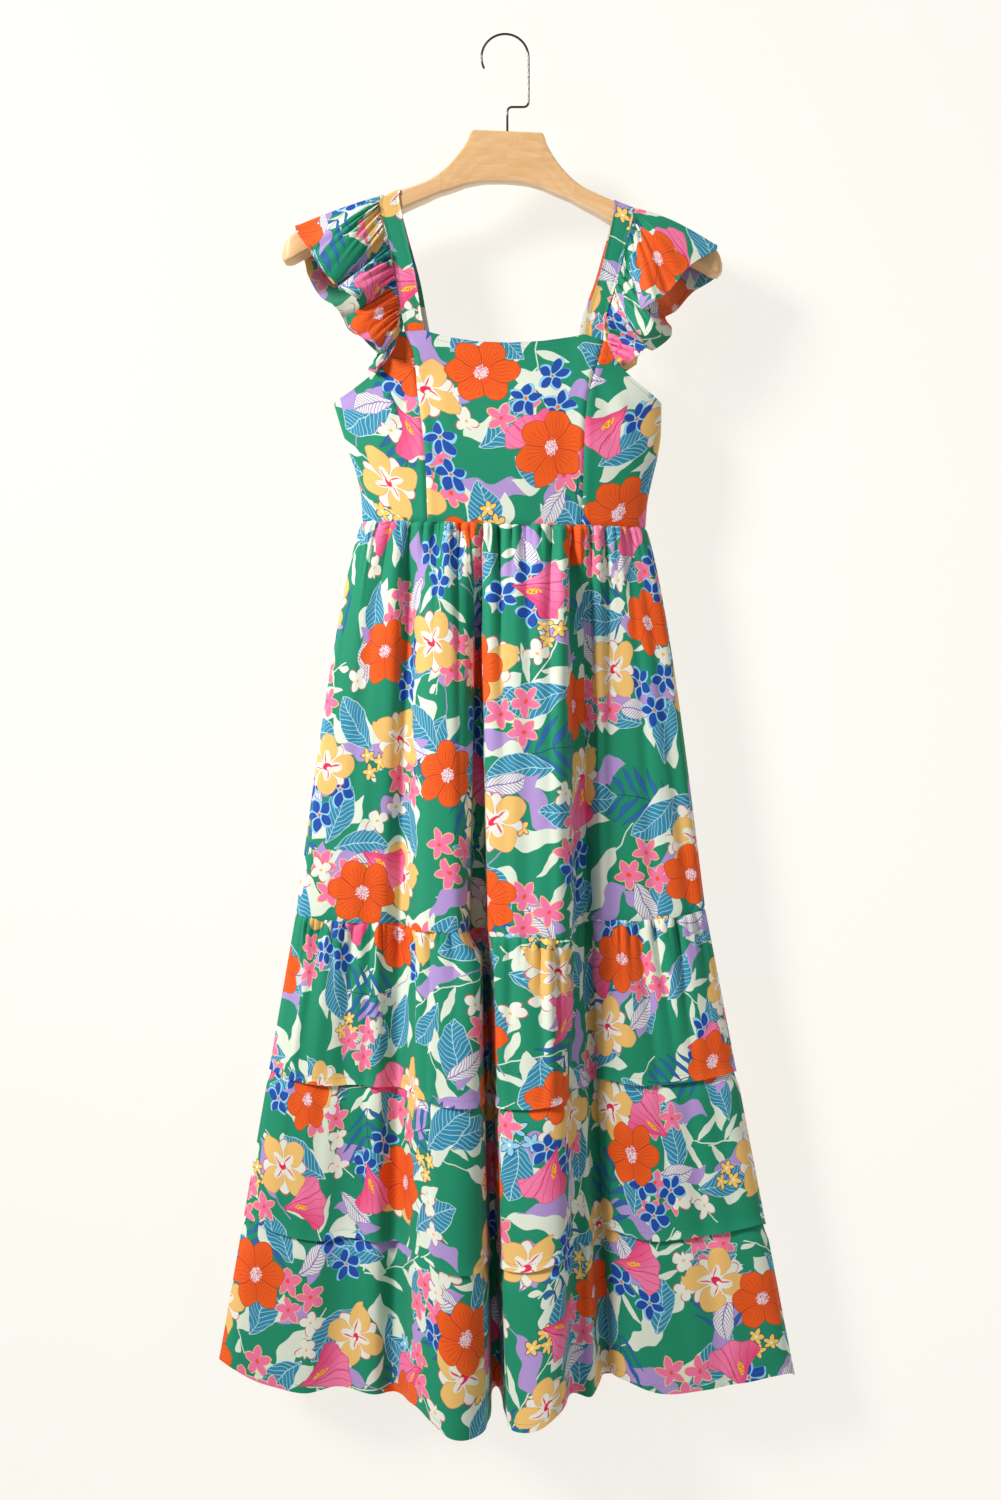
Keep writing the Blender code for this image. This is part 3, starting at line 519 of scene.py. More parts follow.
def ridges(s, down, pitch, height, run, lean, rng):
    """Rounded ridges between creases, at distance s along the seam and down from
    it. The creases soften on their way."""
    total = float(s.max())
    places = [-pitch]
    while places[-1] < total + pitch:
        places.append(places[-1] + pitch * rng.uniform(0.55, 1.55))
    lines = []
    for place in places:
        bend, pace = rng.uniform(0.1, 0.4) * pitch * 0.12, rng.uniform(18, 34)
        lines.append(place + rng.uniform(-lean, lean) * down + bend * np.sin(down / pace + rng.uniform(0, 6)))
    out = np.zeros(s.shape)
    for a, b in zip(lines[:-1], lines[1:]):
        reach = run * rng.choice((0.3, 0.6, 1.0, 1.25), p=(0.2, 0.3, 0.3, 0.2))
        tall = height * rng.uniform(0.55, 1.25)
        t = np.clip((s - a) / (b - a), 0.0, 1.0)
        blunt = mix(0.62, 1.7, np.clip(down / (0.8 * reach), 0.0, 1.0))
        out = out + tall * (4 * t * (1 - t)) ** blunt * np.exp(-(down / reach) ** 1.6)
    return out - 0.6 * height * np.exp(-(down / (0.75 * run)) ** 1.4)


def gathers(name, s, d, strength, seed):
    """Height of the gathers at distance s along the seam and d below it."""
    small_pitch, small_height, small_run, tall_pitch, tall_height, tall_run = GATHERS[name]
    rng = np.random.default_rng(seed)
    down = np.maximum(d, 0.0)
    out = ridges(s, down, small_pitch, small_height, small_run, 0.05, rng)
    out = out + ridges(s, down, tall_pitch, tall_height, tall_run, 0.03, rng)
    return out * strength * smooth(0.36 + d / 7.0)


# Long soft folds of the hanging cloth. Each row: how many, the least and the
# most width, and the least and the most height.
SOFT_FOLDS = {
    # name: (count, narrow, wide, low, high)
    "upper_front": (26, 5.0, 13.0, -2.8, 2.2),
    "upper_back": (22, 6.0, 14.0, -2.6, 2.2),
    "lower_front": (30, 6.0, 15.0, -2.8, 2.4),
    "lower_back": (24, 7.0, 15.0, -2.6, 2.4),
}


def soft_folds(name, s, v, seed):
    """Height of the long folds at distance s along the hem and height share v."""
    count, narrow, wide, low, high = SOFT_FOLDS[name]
    rng = np.random.default_rng(seed)
    total = float(s.max())
    out = np.zeros(s.shape)
    for k in range(count):
        centre = total * (k + rng.uniform(0.1, 0.9)) / count + rng.uniform(-14, 14) * (v - 0.5)
        width = rng.uniform(narrow, wide)
        tall = rng.uniform(low, high)
        middle, reach = rng.uniform(-0.2, 1.1), rng.uniform(0.35, 1.0)
        out = out + tall * bump((s - centre) / width) * bump((v - middle) / reach)
    return out


# ------------------------------------------------------------------ mesh making
def add_mesh(name, vertices, quads, materials, indices=None, maps=(), sharp=True):
    mesh = bpy.data.meshes.new(name)
    vertices = np.asarray(vertices, float) * MM
    quads = np.asarray(quads, np.int32)
    mesh.vertices.add(len(vertices))
    mesh.vertices.foreach_set("co", vertices.astype(np.float32).ravel())
    mesh.loops.add(quads.size)
    mesh.loops.foreach_set("vertex_index", quads.ravel())
    mesh.polygons.add(len(quads))
    mesh.polygons.foreach_set("loop_start", np.arange(len(quads), dtype=np.int32) * quads.shape[1])
    for surface in materials:
        mesh.materials.append(surface)
    if indices is not None:
        mesh.polygons.foreach_set("material_index", np.asarray(indices, np.int32))
    mesh.update(calc_edges=True)
    for map_name, values in maps:
        layer = mesh.uv_layers.new(name=map_name)
        layer.uv.foreach_set("vector", np.asarray(values, np.float32).ravel())
    mesh.validate()
    mesh.polygons.foreach_set("use_smooth", np.ones(len(quads), bool))
    if sharp:
        mesh.set_sharp_from_angle(angle=math.radians(52))
    made = bpy.data.objects.new(name, mesh)
    bpy.context.scene.collection.objects.link(made)
    return made


def shell(name, points, normals, materials, cut, thick=CLOTH):
    """A closed thin wall on both sides of a grid of points. cut gives each
    point's place on the uncut cloth, in metres."""
    rows, columns = points.shape[:2]
    half = np.asarray(thick, float) / 2
    half = half[..., None] if half.ndim else half
    outer, inner = points + normals * half, points - normals * half
    vertices = np.concatenate([outer.reshape(-1, 3), inner.reshape(-1, 3)])
    shift = rows * columns
    index = np.arange(shift).reshape(rows, columns)
    a, b = index[:-1, :-1].ravel(), index[:-1, 1:].ravel()
    c, d = index[1:, 1:].ravel(), index[1:, :-1].ravel()
    # the outer side faces along the normals
    turn = np.cross(points[1, 0] - points[0, 0], points[0, 1] - points[0, 0])
    flip = np.dot(np.cross(points[1:, :-1] - points[:-1, :-1], points[:-1, 1:] - points[:-1, :-1]).reshape(-1, 3).mean(0),
                  normals.reshape(-1, 3).mean(0)) < 0
    cross = np.cross(points[1:, :-1] - points[:-1, :-1], points[:-1, 1:] - points[:-1, :-1])
    flip = (cross * normals[:-1, :-1]).sum(-1).mean() < 0
    front = np.stack([a, b, c, d], axis=1) if flip else np.stack([a, d, c, b], axis=1)
    back = front[:, ::-1] + shift
    ring = np.concatenate([index[0], index[1:, -1], index[-1, -2::-1], index[-2:0:-1, 0]])
    after = np.roll(ring, -1)
    if flip:
        rim = np.stack([ring, ring + shift, after + shift, after], axis=1)
    else:
        rim = np.stack([ring, after, after + shift, ring + shift], axis=1)
    quads = np.concatenate([front, back, rim])
    flat = np.concatenate([cut.reshape(-1, 2), cut.reshape(-1, 2)])
    cut_map = flat[quads]
    i, j = np.divmod(np.arange(shift), columns)
    spot = np.stack([j / (columns - 1), 1 - i / (rows - 1)], axis=1)
    bake = np.concatenate([
        (spot[front] * (0.47, 0.97) + (0.01, 0.02)),
        (spot[back - shift] * (0.47, 0.97) + (0.52, 0.02)),
        np.zeros((len(rim), 4, 2)),
    ])
    run = np.arange(len(rim)) / len(rim)
    step = 1 / len(rim)
    side = np.array([0.490, 0.500])
    first = np.stack([np.full(len(rim), side[0]), run * 0.97 + 0.02], axis=1)
    second = np.stack([np.full(len(rim), side[1]), run * 0.97 + 0.02], axis=1)
    lift = np.array([0.0, step * 0.97])
    if flip:
        corners = (first, second, second + lift, first + lift)
    else:
        corners = (first, first + lift, second + lift, second)
    bake[len(front) + len(back):] = np.stack(corners, axis=1)
    indices = np.concatenate([np.zeros(len(front)), np.ones(len(back)), np.zeros(len(rim))])
    if len(materials) == 1:
        indices[:] = 0
    return add_mesh(name, vertices, quads, materials, indices, (("cut", cut_map), ("OFBake", bake)))


def cut_map(name, across, along):
    """Places on the uncut cloth, in metres, for shares across and along."""
    width, length = CUT[name]
    x0, y0, turn = LAYOUT[name]
    x, y = across * width, along * length
    t = math.radians(turn)
    return np.stack([x0 + x * math.cos(t) - y * math.sin(t),
                     -(y0 + x * math.sin(t) + y * math.cos(t))], axis=-1) * MM


# ------------------------------------------------------------------ node writing
class Sock:
    """A node's output, so that a formula is written as one."""

    def __init__(self, tree, out):
        self.tree, self.out = tree, out

    def math(self, operation, *others, clamp=False):
        node = self.tree.nodes.new("ShaderNodeMath")
        node.operation, node.use_clamp = operation, clamp
        for k, value in enumerate((self,) + others):
            feed(self.tree, node.inputs[k], value)
        return Sock(self.tree, node.outputs[0])

    def vector(self, operation, *others, output=0):
        node = self.tree.nodes.new("ShaderNodeVectorMath")
        node.operation = operation
        for k, value in enumerate((self,) + others):
            feed(self.tree, node.inputs[k], value)
        return Sock(self.tree, node.outputs[output])

    def __add__(self, other):
        return self.math("ADD", other)

    def __radd__(self, other):
        return self.math("ADD", other)

    def __sub__(self, other):
        return self.math("SUBTRACT", other)

    def __rsub__(self, other):
        return self.math("MULTIPLY_ADD", -1.0, other)

    def __mul__(self, other):
        return self.math("MULTIPLY", other)

    def __rmul__(self, other):
        return self.math("MULTIPLY", other)

    def __truediv__(self, other):
        return self.math("DIVIDE", other)

    def __neg__(self):
        return self.math("MULTIPLY", -1.0)

    def __abs__(self):
        return self.math("ABSOLUTE")

    def __pow__(self, other):
        return self.math("POWER", other)


def feed(tree, socket, value):
    if isinstance(value, Sock):
        tree.links.new(value.out, socket)
    elif hasattr(socket.default_value, "__len__"):
        count = len(socket.default_value)
        socket.default_value = (tuple(value) + (1.0,) * 4)[:count]
    else:
        socket.default_value = value


def split(vector):
    node = vector.tree.nodes.new("ShaderNodeSeparateXYZ")
    feed(vector.tree, node.inputs[0], vector)
    return tuple(Sock(vector.tree, node.outputs[k]) for k in range(3))


def join(x, y):
    node = x.tree.nodes.new("ShaderNodeCombineXYZ")
    feed(x.tree, node.inputs[0], x)
    feed(x.tree, node.inputs[1], y)
    return Sock(x.tree, node.outputs[0])


def turned(vector, angle):
    node = vector.tree.nodes.new("ShaderNodeVectorRotate")
    node.rotation_type = "Z_AXIS"
    feed(vector.tree, node.inputs["Vector"], vector)
    feed(vector.tree, node.inputs["Angle"], angle)
    return Sock(vector.tree, node.outputs[0])


def moved(vector, move=(0, 0, 0), turn=0.0, scale=(1, 1, 1)):
    node = vector.tree.nodes.new("ShaderNodeMapping")
    feed(vector.tree, node.inputs["Vector"], vector)
    node.inputs["Location"].default_value = move
    node.inputs["Rotation"].default_value = (0, 0, turn)
    node.inputs["Scale"].default_value = scale
    return Sock(vector.tree, node.outputs[0])


def inside(distance, soft=0.45):
    """1 where the distance is positive, with an edge soft wide."""
    return distance.math("MULTIPLY_ADD", 1.0 / soft, 0.5, clamp=True)


def line(distance, half, soft=0.4):
    """1 within half of nought."""
    return abs(distance).math("MULTIPLY_ADD", -1.0 / soft, 0.5 + half / soft, clamp=True)


def linear(srgb):
    return tuple((c / 255 / 12.92) if c / 255 <= 0.04045 else ((c / 255 + 0.055) / 1.055) ** 2.4 for c in srgb)


def paint(below, mask, colour):
    """Lays a colour over another where the mask is 1."""
    node = below.tree.nodes.new("ShaderNodeMix")
    node.data_type = "RGBA"
    feed(below.tree, node.inputs[0], mask)
    feed(below.tree, node.inputs[6], below)
    if isinstance(colour, Sock):
        feed(below.tree, node.inputs[7], colour)
    else:
        node.inputs[7].default_value = (*linear(colour), 1.0)
    return Sock(below.tree, node.outputs[2])


def noise(vector, scale, detail=2.0, output=0, flat=False):
    node = vector.tree.nodes.new("ShaderNodeTexNoise")
    node.noise_dimensions = "2D" if flat else "3D"
    feed(vector.tree, node.inputs["Vector"], vector)
    node.inputs["Scale"].default_value = scale
    node.inputs["Detail"].default_value = detail
    return Sock(vector.tree, node.outputs[output])


def scatter(p, cell, turn, shift, jitter, seed, spin=2 * math.pi):
    """Motifs on a loose grid: place from the nearest one's middle, turned at
    random, and two random numbers of that motif."""
    q = moved(p, (shift[0], shift[1], seed + 0.5), turn, (1 / cell, 1 / cell, 0))
    floor, part = q.vector("FLOOR"), q.vector("FRACTION")
    white = p.tree.nodes.new("ShaderNodeTexWhiteNoise")
    white.noise_dimensions = "3D"
    feed(p.tree, white.inputs["Vector"], floor)
    value, colour = Sock(p.tree, white.outputs[0]), Sock(p.tree, white.outputs[1])
    place = colour.vector("MULTIPLY_ADD", (-jitter, -jitter, 0), part)
    middle = (0.5 - 0.5 * jitter) * cell
    place = place.vector("MULTIPLY_ADD", (cell, cell, 0), (-middle, -middle, 0))
    return turned(place, value * spin), colour, value


def petals(place, count):
    """The place in the frame of the petal that it is in, and that petal's number."""
    x, y, _ = split(place)
    number = (y.math("ARCTAN2", x) * (count / (2 * math.pi))).math("ROUND")
    return turned(place, number * (-2 * math.pi / count)), number


def cluster(place, count, reach, spin):
    """Place from the nearest of a ring of small flowers."""
    near, number = petals(place, count)
    return turned(near.vector("SUBTRACT", (reach, 0, 0)), number * spin)


def mirrored(place, colour):
    """Turns about half of the motifs over."""
    side = colour.vector("SUBTRACT", (0.5, 0.5, 0.5)).vector("SIGN")
    return place.vector("MULTIPLY", side.vector("MULTIPLY_ADD", (0, 1, 0), (1, 0, 1)))


def oval(near, middle, long, wide, aside=0.0):
    """Square of the distance from an oval's middle, 1 on its outline."""
    q = near.vector("MULTIPLY_ADD", (1 / long, 1 / wide, 0), (-middle / long, -aside / wide, 0))
    return q.vector("DOT_PRODUCT", q, output=1)


def within(square, wide, grow=0.0):
    """1 inside an oval whose half width is wide, grown by some millimetres."""
    slope = wide * 1.1
    return square.math("MULTIPLY_ADD", -slope, (1 + 2 * grow / wide) * slope + 0.5, clamp=True)


def pointed(near, start, end, wide):
    """How far the place is past each side of a petal with two pointed ends.
    Both sides are arcs of the radius that comes back last."""
    half = (end - start) / 2
    radius = (half * half + wide * wide) / (2 * wide)
    middle = (start + end) / 2
    one = near.vector("DISTANCE", (middle, radius - wide, 0), output=1)
    two = near.vector("DISTANCE", (middle, wide - radius, 0), output=1)
    return one, one.math("MAXIMUM", two), radius


def under(value, limit, soft=0.45):
    """1 where the value is under the limit."""
    return value.math("MULTIPLY_ADD", -1.0 / soft, limit / soft + 0.5, clamp=True)


def beyond(value, limit, soft=0.45):
    """1 where the value is over the limit."""
    return value.math("MULTIPLY_ADD", 1.0 / soft, 0.5 - limit / soft, clamp=True)


def leaf_frame(place, long, bend):
    """Place along a leaf, its share of the half length squared from 1, and the
    distance from its bent midrib."""
    x, y, _ = split(place)
    t = x * (2 / long)
    arch = (t * t).math("MULTIPLY_ADD", -1.0, 1.0)
    return x, t, arch, arch.math("MULTIPLY_ADD", bend, y)


def leaf_shape(place, long, wide, bend, skew=0.2):
    """Inside distance of a pointed leaf, distance from its midrib with its
    sign and without, and the place along it."""
    x, t, arch, rib = leaf_frame(place, long, bend)
    high = abs(rib)
    body = arch * t.math("MULTIPLY_ADD", skew * wide / 2, wide / 2)
    return (body - high).math("MINIMUM", arch * 30.0), high, x


def veins(x, high, pitch, lean, thick):
    """Slanting hatch lines on both sides of a midrib."""
    f = high.math("MULTIPLY_ADD", -lean, x)
    return under(f.math("PINGPONG", pitch / 2), thick, 0.4)


def fronds(colour, place, long, leaf_long, pitch, leaf_wide, bend, fill, edge, lean=0.75, rib_half=0.5, apart=0.0):
    """A bent stem with a narrow leaf to each side at each step."""
    x, t, arch, rib = leaf_frame(place, long, bend)
    high = abs(rib)
    f = high.math("MULTIPLY_ADD", -lean, x)
    if apart:
        f = rib.math("SIGN").math("MULTIPLY_ADD", apart * pitch, f)
    across = f.math("PINGPONG", pitch / 2)
    share = high / (arch.math("MAXIMUM", 0.02) ** 0.5 * leaf_long)
    share = share.math("MINIMUM", 1.6)
    body = (share * share.math("MULTIPLY_ADD", -1.0, 1.0)).math("MULTIPLY_ADD", 2 * leaf_wide, -0.1)
    d = (body - across).math("MINIMUM", arch * 30.0)
    if edge:
        colour = paint(colour, beyond(d, -0.5), edge)
        colour = paint(colour, inside(d), fill)
        middle = under(across, 0.16, 0.3) * inside(d)
        colour = paint(colour, middle, edge)
    else:
        colour = paint(colour, inside(d), fill)
    stem = under(high, rib_half) * inside(arch * 30.0)
    return paint(colour, stem, fill if edge is None else edge)


# ------------------------------------------------------------------ the print
GREEN = (18, 137, 102)
GREEN_DEEP = (16, 128, 96)
CREAM = (221, 230, 214)
TEAL = (44, 144, 176)
TEAL_DEEP = (24, 98, 138)
LILAC = (174, 146, 208)
LILAC_LINE = (140, 108, 186)
ORANGE = (238, 93, 28)
ORANGE_LINE = (150, 44, 14)
PEACH = (236, 190, 110)
PINK = (240, 116, 162)
PINK_DEEP = (234, 76, 128)
MAGENTA = (206, 30, 96)
CRIMSON = (226, 34, 84)
ROYAL = (22, 72, 164)
SKY = (146, 208, 236)
NAVY = (24, 52, 118)
FERN = (36, 104, 164)
YELLOW = (250, 204, 96)
RED = (214, 44, 56)


def leaf_pair(colour, place, cream_long, cream_wide, teal_long, teal_wide):
    """A veined leaf lying half over a larger plain one."""
    colour = flame_leaf(colour, moved(place, (4.0, 6.0, 0), 0.38), cream_long, cream_wide, CREAM)
    d, high, x = leaf_shape(place, teal_long, teal_wide, 4.0, 0.25)
    colour = paint(colour, beyond(d, -0.7), (206, 230, 234))
    body = inside(d)
    colour = paint(colour, body, TEAL)
    colour = paint(colour, body * veins(x, high, 1.9, 0.95, 0.26) * 0.8, TEAL_DEEP)
    return paint(colour, body * veins(x, high, 5.7, 0.95, 0.30).math("MAXIMUM", under(high, 0.38)), (188, 222, 230))


def herringbone_leaf(colour, place):
    colour = flame_leaf(colour, moved(place, (-5, 10, 0), -0.45), 62, 25, LILAC)
    d, high, x = leaf_shape(place, 48, 21, 3.5, 0.3)
    body = inside(d)
    colour = paint(colour, beyond(d, -0.6), LILAC_LINE)
    colour = paint(colour, body, (226, 229, 222))
    return paint(colour, body * veins(x, high, 3.9, 1.1, 0.50).math("MAXIMUM", under(high, 0.65)), LILAC_LINE)


def flame_leaf(colour, place, long, wide, fill, stem=False):
    """A plain leaf that swings to both sides of its middle and ends in points."""
    x, y, _ = split(place)
    t = x * (2 / long)
    arch = (t * t).math("MULTIPLY_ADD", -1.0, 1.0)
    rib = (t * 2.4).math("SINE").math("MULTIPLY_ADD", wide * 0.24, y)
    lobe = rib.math("SIGN").math("MULTIPLY_ADD", 0.9, t * 5.2).math("SINE").math("MULTIPLY_ADD", 0.15 * wide, 0.39 * wide)
    d = (arch * lobe - abs(rib)).math("MINIMUM", arch * 20.0)
    colour = paint(colour, inside(d), fill)
    if stem:
        off = abs(y - 0.16 * wide - t * 1.2)
        tail = under(off, 0.6) * inside(t.math("MULTIPLY_ADD", 20.0, 38.0)) * inside(t.math("MULTIPLY_ADD", -20.0, -18.0))
        colour = paint(colour, tail, fill)
    return colour


def orange_flower(colour, place, stipple, radius=29.0):
    place = place.vector("MULTIPLY", (1.0, 1.1, 1.0))
    r = place.vector("LENGTH", output=1)
    near, number = petals(place, 6)
    x, y, _ = split(near)
    high = abs(y)
    body_at = oval(near, radius * 0.56, radius * 0.45, radius * 0.37)
    gap = high.math("MULTIPLY_ADD", math.cos(math.pi / 6), x * -math.sin(math.pi / 6))
    colour = paint(colour, within(body_at, radius * 0.37, 0.5).math("MAXIMUM", under(r, radius * 0.45)), ORANGE_LINE)
    body = within(body_at, radius * 0.37).math("MAXIMUM", under(r, radius * 0.42)) * under(gap, -0.16, 0.4)
    colour = paint(colour, body, (236, 90, 14))
    vein = (y / x.math("MAXIMUM", 1.0)).math("PINGPONG", 0.09) * x
    reach = under(vein, 0.26, 0.3) * under(r, radius * 0.78, 3.0) * body
    colour = paint(colour, reach * 0.85, (196, 48, 10))
    heart = under(stipple.math("MULTIPLY_ADD", -4.0, r), radius * 0.2 - 2.0)
    colour = paint(colour, heart, (250, 236, 238))
    return paint(colour, heart * line(stipple - 0.5, 0.085, 0.05), MAGENTA)


def peach_flower(colour, place, radius=33.0):
    """Four broad petals over narrower white ones, on a blotched middle."""
    near, number = petals(turned(place, 0.74), 4)
    white = oval(near, radius * 0.42, radius * 0.38, radius * 0.21)
    colour = paint(colour, within(white, radius * 0.21, 0.55), CRIMSON)
    colour = paint(colour, within(white, radius * 0.21), (230, 232, 220))
    near, number = petals(place, 4)
    size = (number * 2.7 + 0.8).math("SINE")
    near = near.vector("MULTIPLY", join(size.math("MULTIPLY_ADD", -0.09, 1.0), size.math("MULTIPLY_ADD", 0.06, 1.0)))
    petal = oval(near, radius * 0.58, radius * 0.41, radius * 0.345)
    body = within(petal, radius * 0.345)
    colour = paint(colour, within(petal, radius * 0.345, 0.4), (206, 120, 84))
    colour = paint(colour, body, PEACH)
    throat = oval(near, radius * 0.24, radius * 0.26, radius * 0.13)
    colour = paint(colour, within(throat, radius * 0.13), (232, 232, 220))
    streak = oval(near, radius * 0.26, radius * 0.17, radius * 0.022, radius * 0.05)
    colour = paint(colour, within(streak, radius * 0.022), CRIMSON)
    heart = oval(place, 1.0, 5.6, 3.9, 0.8)
    colour = paint(colour, within(heart, 3.9), CRIMSON)
    return paint(colour, within(oval(place, 3.4, 2.9, 2.0, -0.6), 2.0), (250, 240, 222))


def trumpet_flower(colour, place, stipple, long=54.0):
    base = place.vector("ADD", (long * 0.5, 0, 0))
    r = base.vector("LENGTH", output=1)
    x, y, _ = split(base)
    angle = y.math("ARCTAN2", x)
    share = r * (1 / long)
    half = (share * share).math("MULTIPLY_ADD", 0.46, 0.40)
    top = (angle * 14.0 + 0.6).math("COSINE").math("MULTIPLY_ADD", 1.8, long * 0.95) - angle * angle * 13.0
    d = (top - r).math("SMOOTH_MIN", (half - abs(angle)) * r, 10.0)
    colour = paint(colour, beyond(d, -0.5), MAGENTA)
    body = inside(d)
    deep = angle.math("MULTIPLY_ADD", -1.4, share.math("MULTIPLY_ADD", -1.1, 0.95), clamp=True)
    colour = paint(colour, body, paint(rgb(colour.tree, (244, 122, 168)), deep, PINK_DEEP))
    vein = angle.math("PINGPONG", 0.095) * r
    fold = abs(angle.math("SUBTRACT", (share * 7.0).math("SINE").math("MULTIPLY_ADD", 0.06, 0.2)) * r)
    lines = (under(vein, 0.22, 0.35) * beyond(r, long * 0.3, 2.0)).math("MAXIMUM", under(fold, 0.5))
    colour = paint(colour, body * lines, MAGENTA)
    stamen = oval(turned(base, 0.12), long * 0.42, 8.0, 2.6)
    tip = within(stipple.math("MULTIPLY_ADD", 0.9, stamen), 2.6, 0.5)
    colour = paint(colour, tip, (250, 202, 60))
    return paint(colour, tip * beyond(stipple, 0.53, 0.1), (238, 104, 30))


def blue_flower(colour, place, radius=17.0):
    near, number = petals(place, 5)
    one, most, arc = pointed(near, 1.0, radius, 5.8)
    colour = paint(colour, under(most, arc + 0.4), (96, 164, 214))
    body = under(most, arc)
    colour = paint(colour, body, ROYAL)
    colour = paint(colour, body * beyond(one, arc - 2.0), SKY)
    return paint(colour, under(place.vector("LENGTH", output=1), 1.9), (244, 110, 40))


def small_flower(colour, place, radius, count, wide, fill, shadow, eye):
    """A small flower with a narrow shadow on one side of each petal."""
    near, number = petals(place, count)
    one, most, arc = pointed(near, 0.5, radius, wide)
    colour = paint(colour, under(most, arc + 0.75), shadow)
    colour = paint(colour, under(most, arc), fill)
    return paint(colour, under(place.vector("LENGTH", output=1), radius * 0.11 + 0.5), eye)


def white_flower(colour, place, radius=13.5):
    near, number = petals(place, 4)
    wide = radius * 0.35
    colour = paint(colour, within(oval(near, radius * 0.56, radius * 0.46, wide, -0.8), wide), RED)
    colour = paint(colour, within(oval(near, radius * 0.52, radius * 0.46, wide), wide), (230, 232, 221))
    return paint(colour, under(place.vector("LENGTH", output=1), 1.8), (248, 190, 80))


def rgb(tree, srgb):
    node = tree.nodes.new("ShaderNodeRGB")
    node.outputs[0].default_value = (*linear(srgb), 1.0)
    return Sock(tree, node.outputs[0])


def random_size(place, value, low, high):
    """The place scaled so that a motif is between low and high times as big."""
    factor = (value * 7.31).math("FRACT").math("MULTIPLY_ADD", 1 / low - 1 / high, 1 / high)
    node = place.tree.nodes.new("ShaderNodeVectorMath")
    node.operation = "SCALE"
    feed(place.tree, node.inputs[0], place)
    feed(place.tree, node.inputs["Scale"], factor)
    return Sock(place.tree, node.outputs[0])


def print_design():
    """A garden print of ordinary flowers and leaves on green, each kind thrown
    on its own loose grid."""
    tree = bpy.data.node_groups.new("garden_print", "ShaderNodeTree")
    tree.interface.new_socket("Place", in_out="INPUT", socket_type="NodeSocketVector")
    tree.interface.new_socket("Color", in_out="OUTPUT", socket_type="NodeSocketColor")
    into, out = tree.nodes.new("NodeGroupInput"), tree.nodes.new("NodeGroupOutput")
    p = Sock(tree, into.outputs[0])
    wobble = noise(p, 0.045, 1.0, output=1, flat=True).vector("SUBTRACT", (0.5, 0.5, 0.5))
    p = wobble.vector("MULTIPLY_ADD", (7.0, 7.0, 0), p)
    stipple = noise(p, 0.58, 0.0, flat=True)
    colour = rgb(tree, GREEN)

    place, c, v = scatter(p, 158.0, 0.35, (0.2, 0.7), 0.30, 11)
    colour = fronds(colour, mirrored(place, c), 142.0, 34.0, 34.0, 11.0, 17.0, CREAM, None, 0.8, 0.7, 0.25)
    place, c, v = scatter(p, 112.0, 1.1, (0.5, 0.1), 0.38, 12)
    colour = flame_leaf(colour, mirrored(random_size(place, v, 0.9, 1.15), c), 69.0, 30.0, CREAM, True)
    place, c, v = scatter(p, 118.0, -0.5, (0.8, 0.3), 0.50, 13)
    colour = flame_leaf(colour, mirrored(place, c), 65.0, 30.0, LILAC, True)
    place, c, v = scatter(p, 172.0, 0.75, (0.1, 0.9), 0.45, 14)
    colour = fronds(colour, mirrored(place, c), 90.0, 33.0, 16.0, 7.2, 9.0, FERN, NAVY, 0.85, 0.5)
    place, c, v = scatter(p, 134.0, -0.6, (0.3, 0.8), 0.45, 25)
    colour = leaf_pair(colour, mirrored(place, c), 70.0, 32.0, 62.0, 29.0)
    place, c, v = scatter(p, 100.0, 0.2, (0.6, 0.4), 0.26, 15)
    colour = leaf_pair(colour, mirrored(random_size(place, v, 0.9, 1.1), c), 76.0, 36.0, 69.0, 32.5)
    place, c, v = scatter(p, 134.0, -0.9, (0.3, 0.6), 0.50, 16)
    colour = herringbone_leaf(colour, place)
    place, c, v = scatter(p, 300.0, 0.9, (0.9, 0.2), 0.65, 17)
    colour = small_flower(colour, cluster(place, 3, 12.0, 1.3), 10.5, 5, 2.7, SKY, NAVY, (250, 250, 240))
    place, c, v = scatter(p, 184.0, -0.3, (0.4, 0.8), 0.65, 18)
    colour = small_flower(colour, cluster(place, 3, 9.6, 0.9), 8.8, 5, 2.3, YELLOW, NAVY, (240, 236, 240))
    place, c, v = scatter(p, 134.0, 0.6, (0.7, 0.5), 0.50, 19)
    colour = small_flower(colour, cluster(place, 3, 17.5, 0.7), 16.2, 5, 4.3, PINK, (250, 206, 120), (236, 84, 30))
    place, c, v = scatter(p, 150.0, 1.3, (0.2, 0.3), 0.60, 20)
    colour = white_flower(colour, cluster(place, 2, 15.0, 1.1))
    place, c, v = scatter(p, 182.0, 0.45, (0.55, 0.15), 0.55, 21)
    colour = blue_flower(colour, cluster(place, 3, 21.0, 0.8), 18.5)
    place, c, v = scatter(p, 154.0, 0.15, (0.35, 0.9), 0.48, 23)
    colour = peach_flower(colour, random_size(place, v, 0.94, 1.1), 35.5)
    place, c, v = scatter(p, 166.0, -0.2, (0.15, 0.45), 0.60, 22)
    colour = trumpet_flower(colour, mirrored(place, c), stipple, 58.0)
    place, c, v = scatter(p, 168.0, 0.8, (0.75, 0.65), 0.50, 24)
    colour = orange_flower(colour, random_size(place, v, 0.92, 1.1), stipple, 36.5)
    tree.links.new(colour.out, out.inputs[0])
    return tree


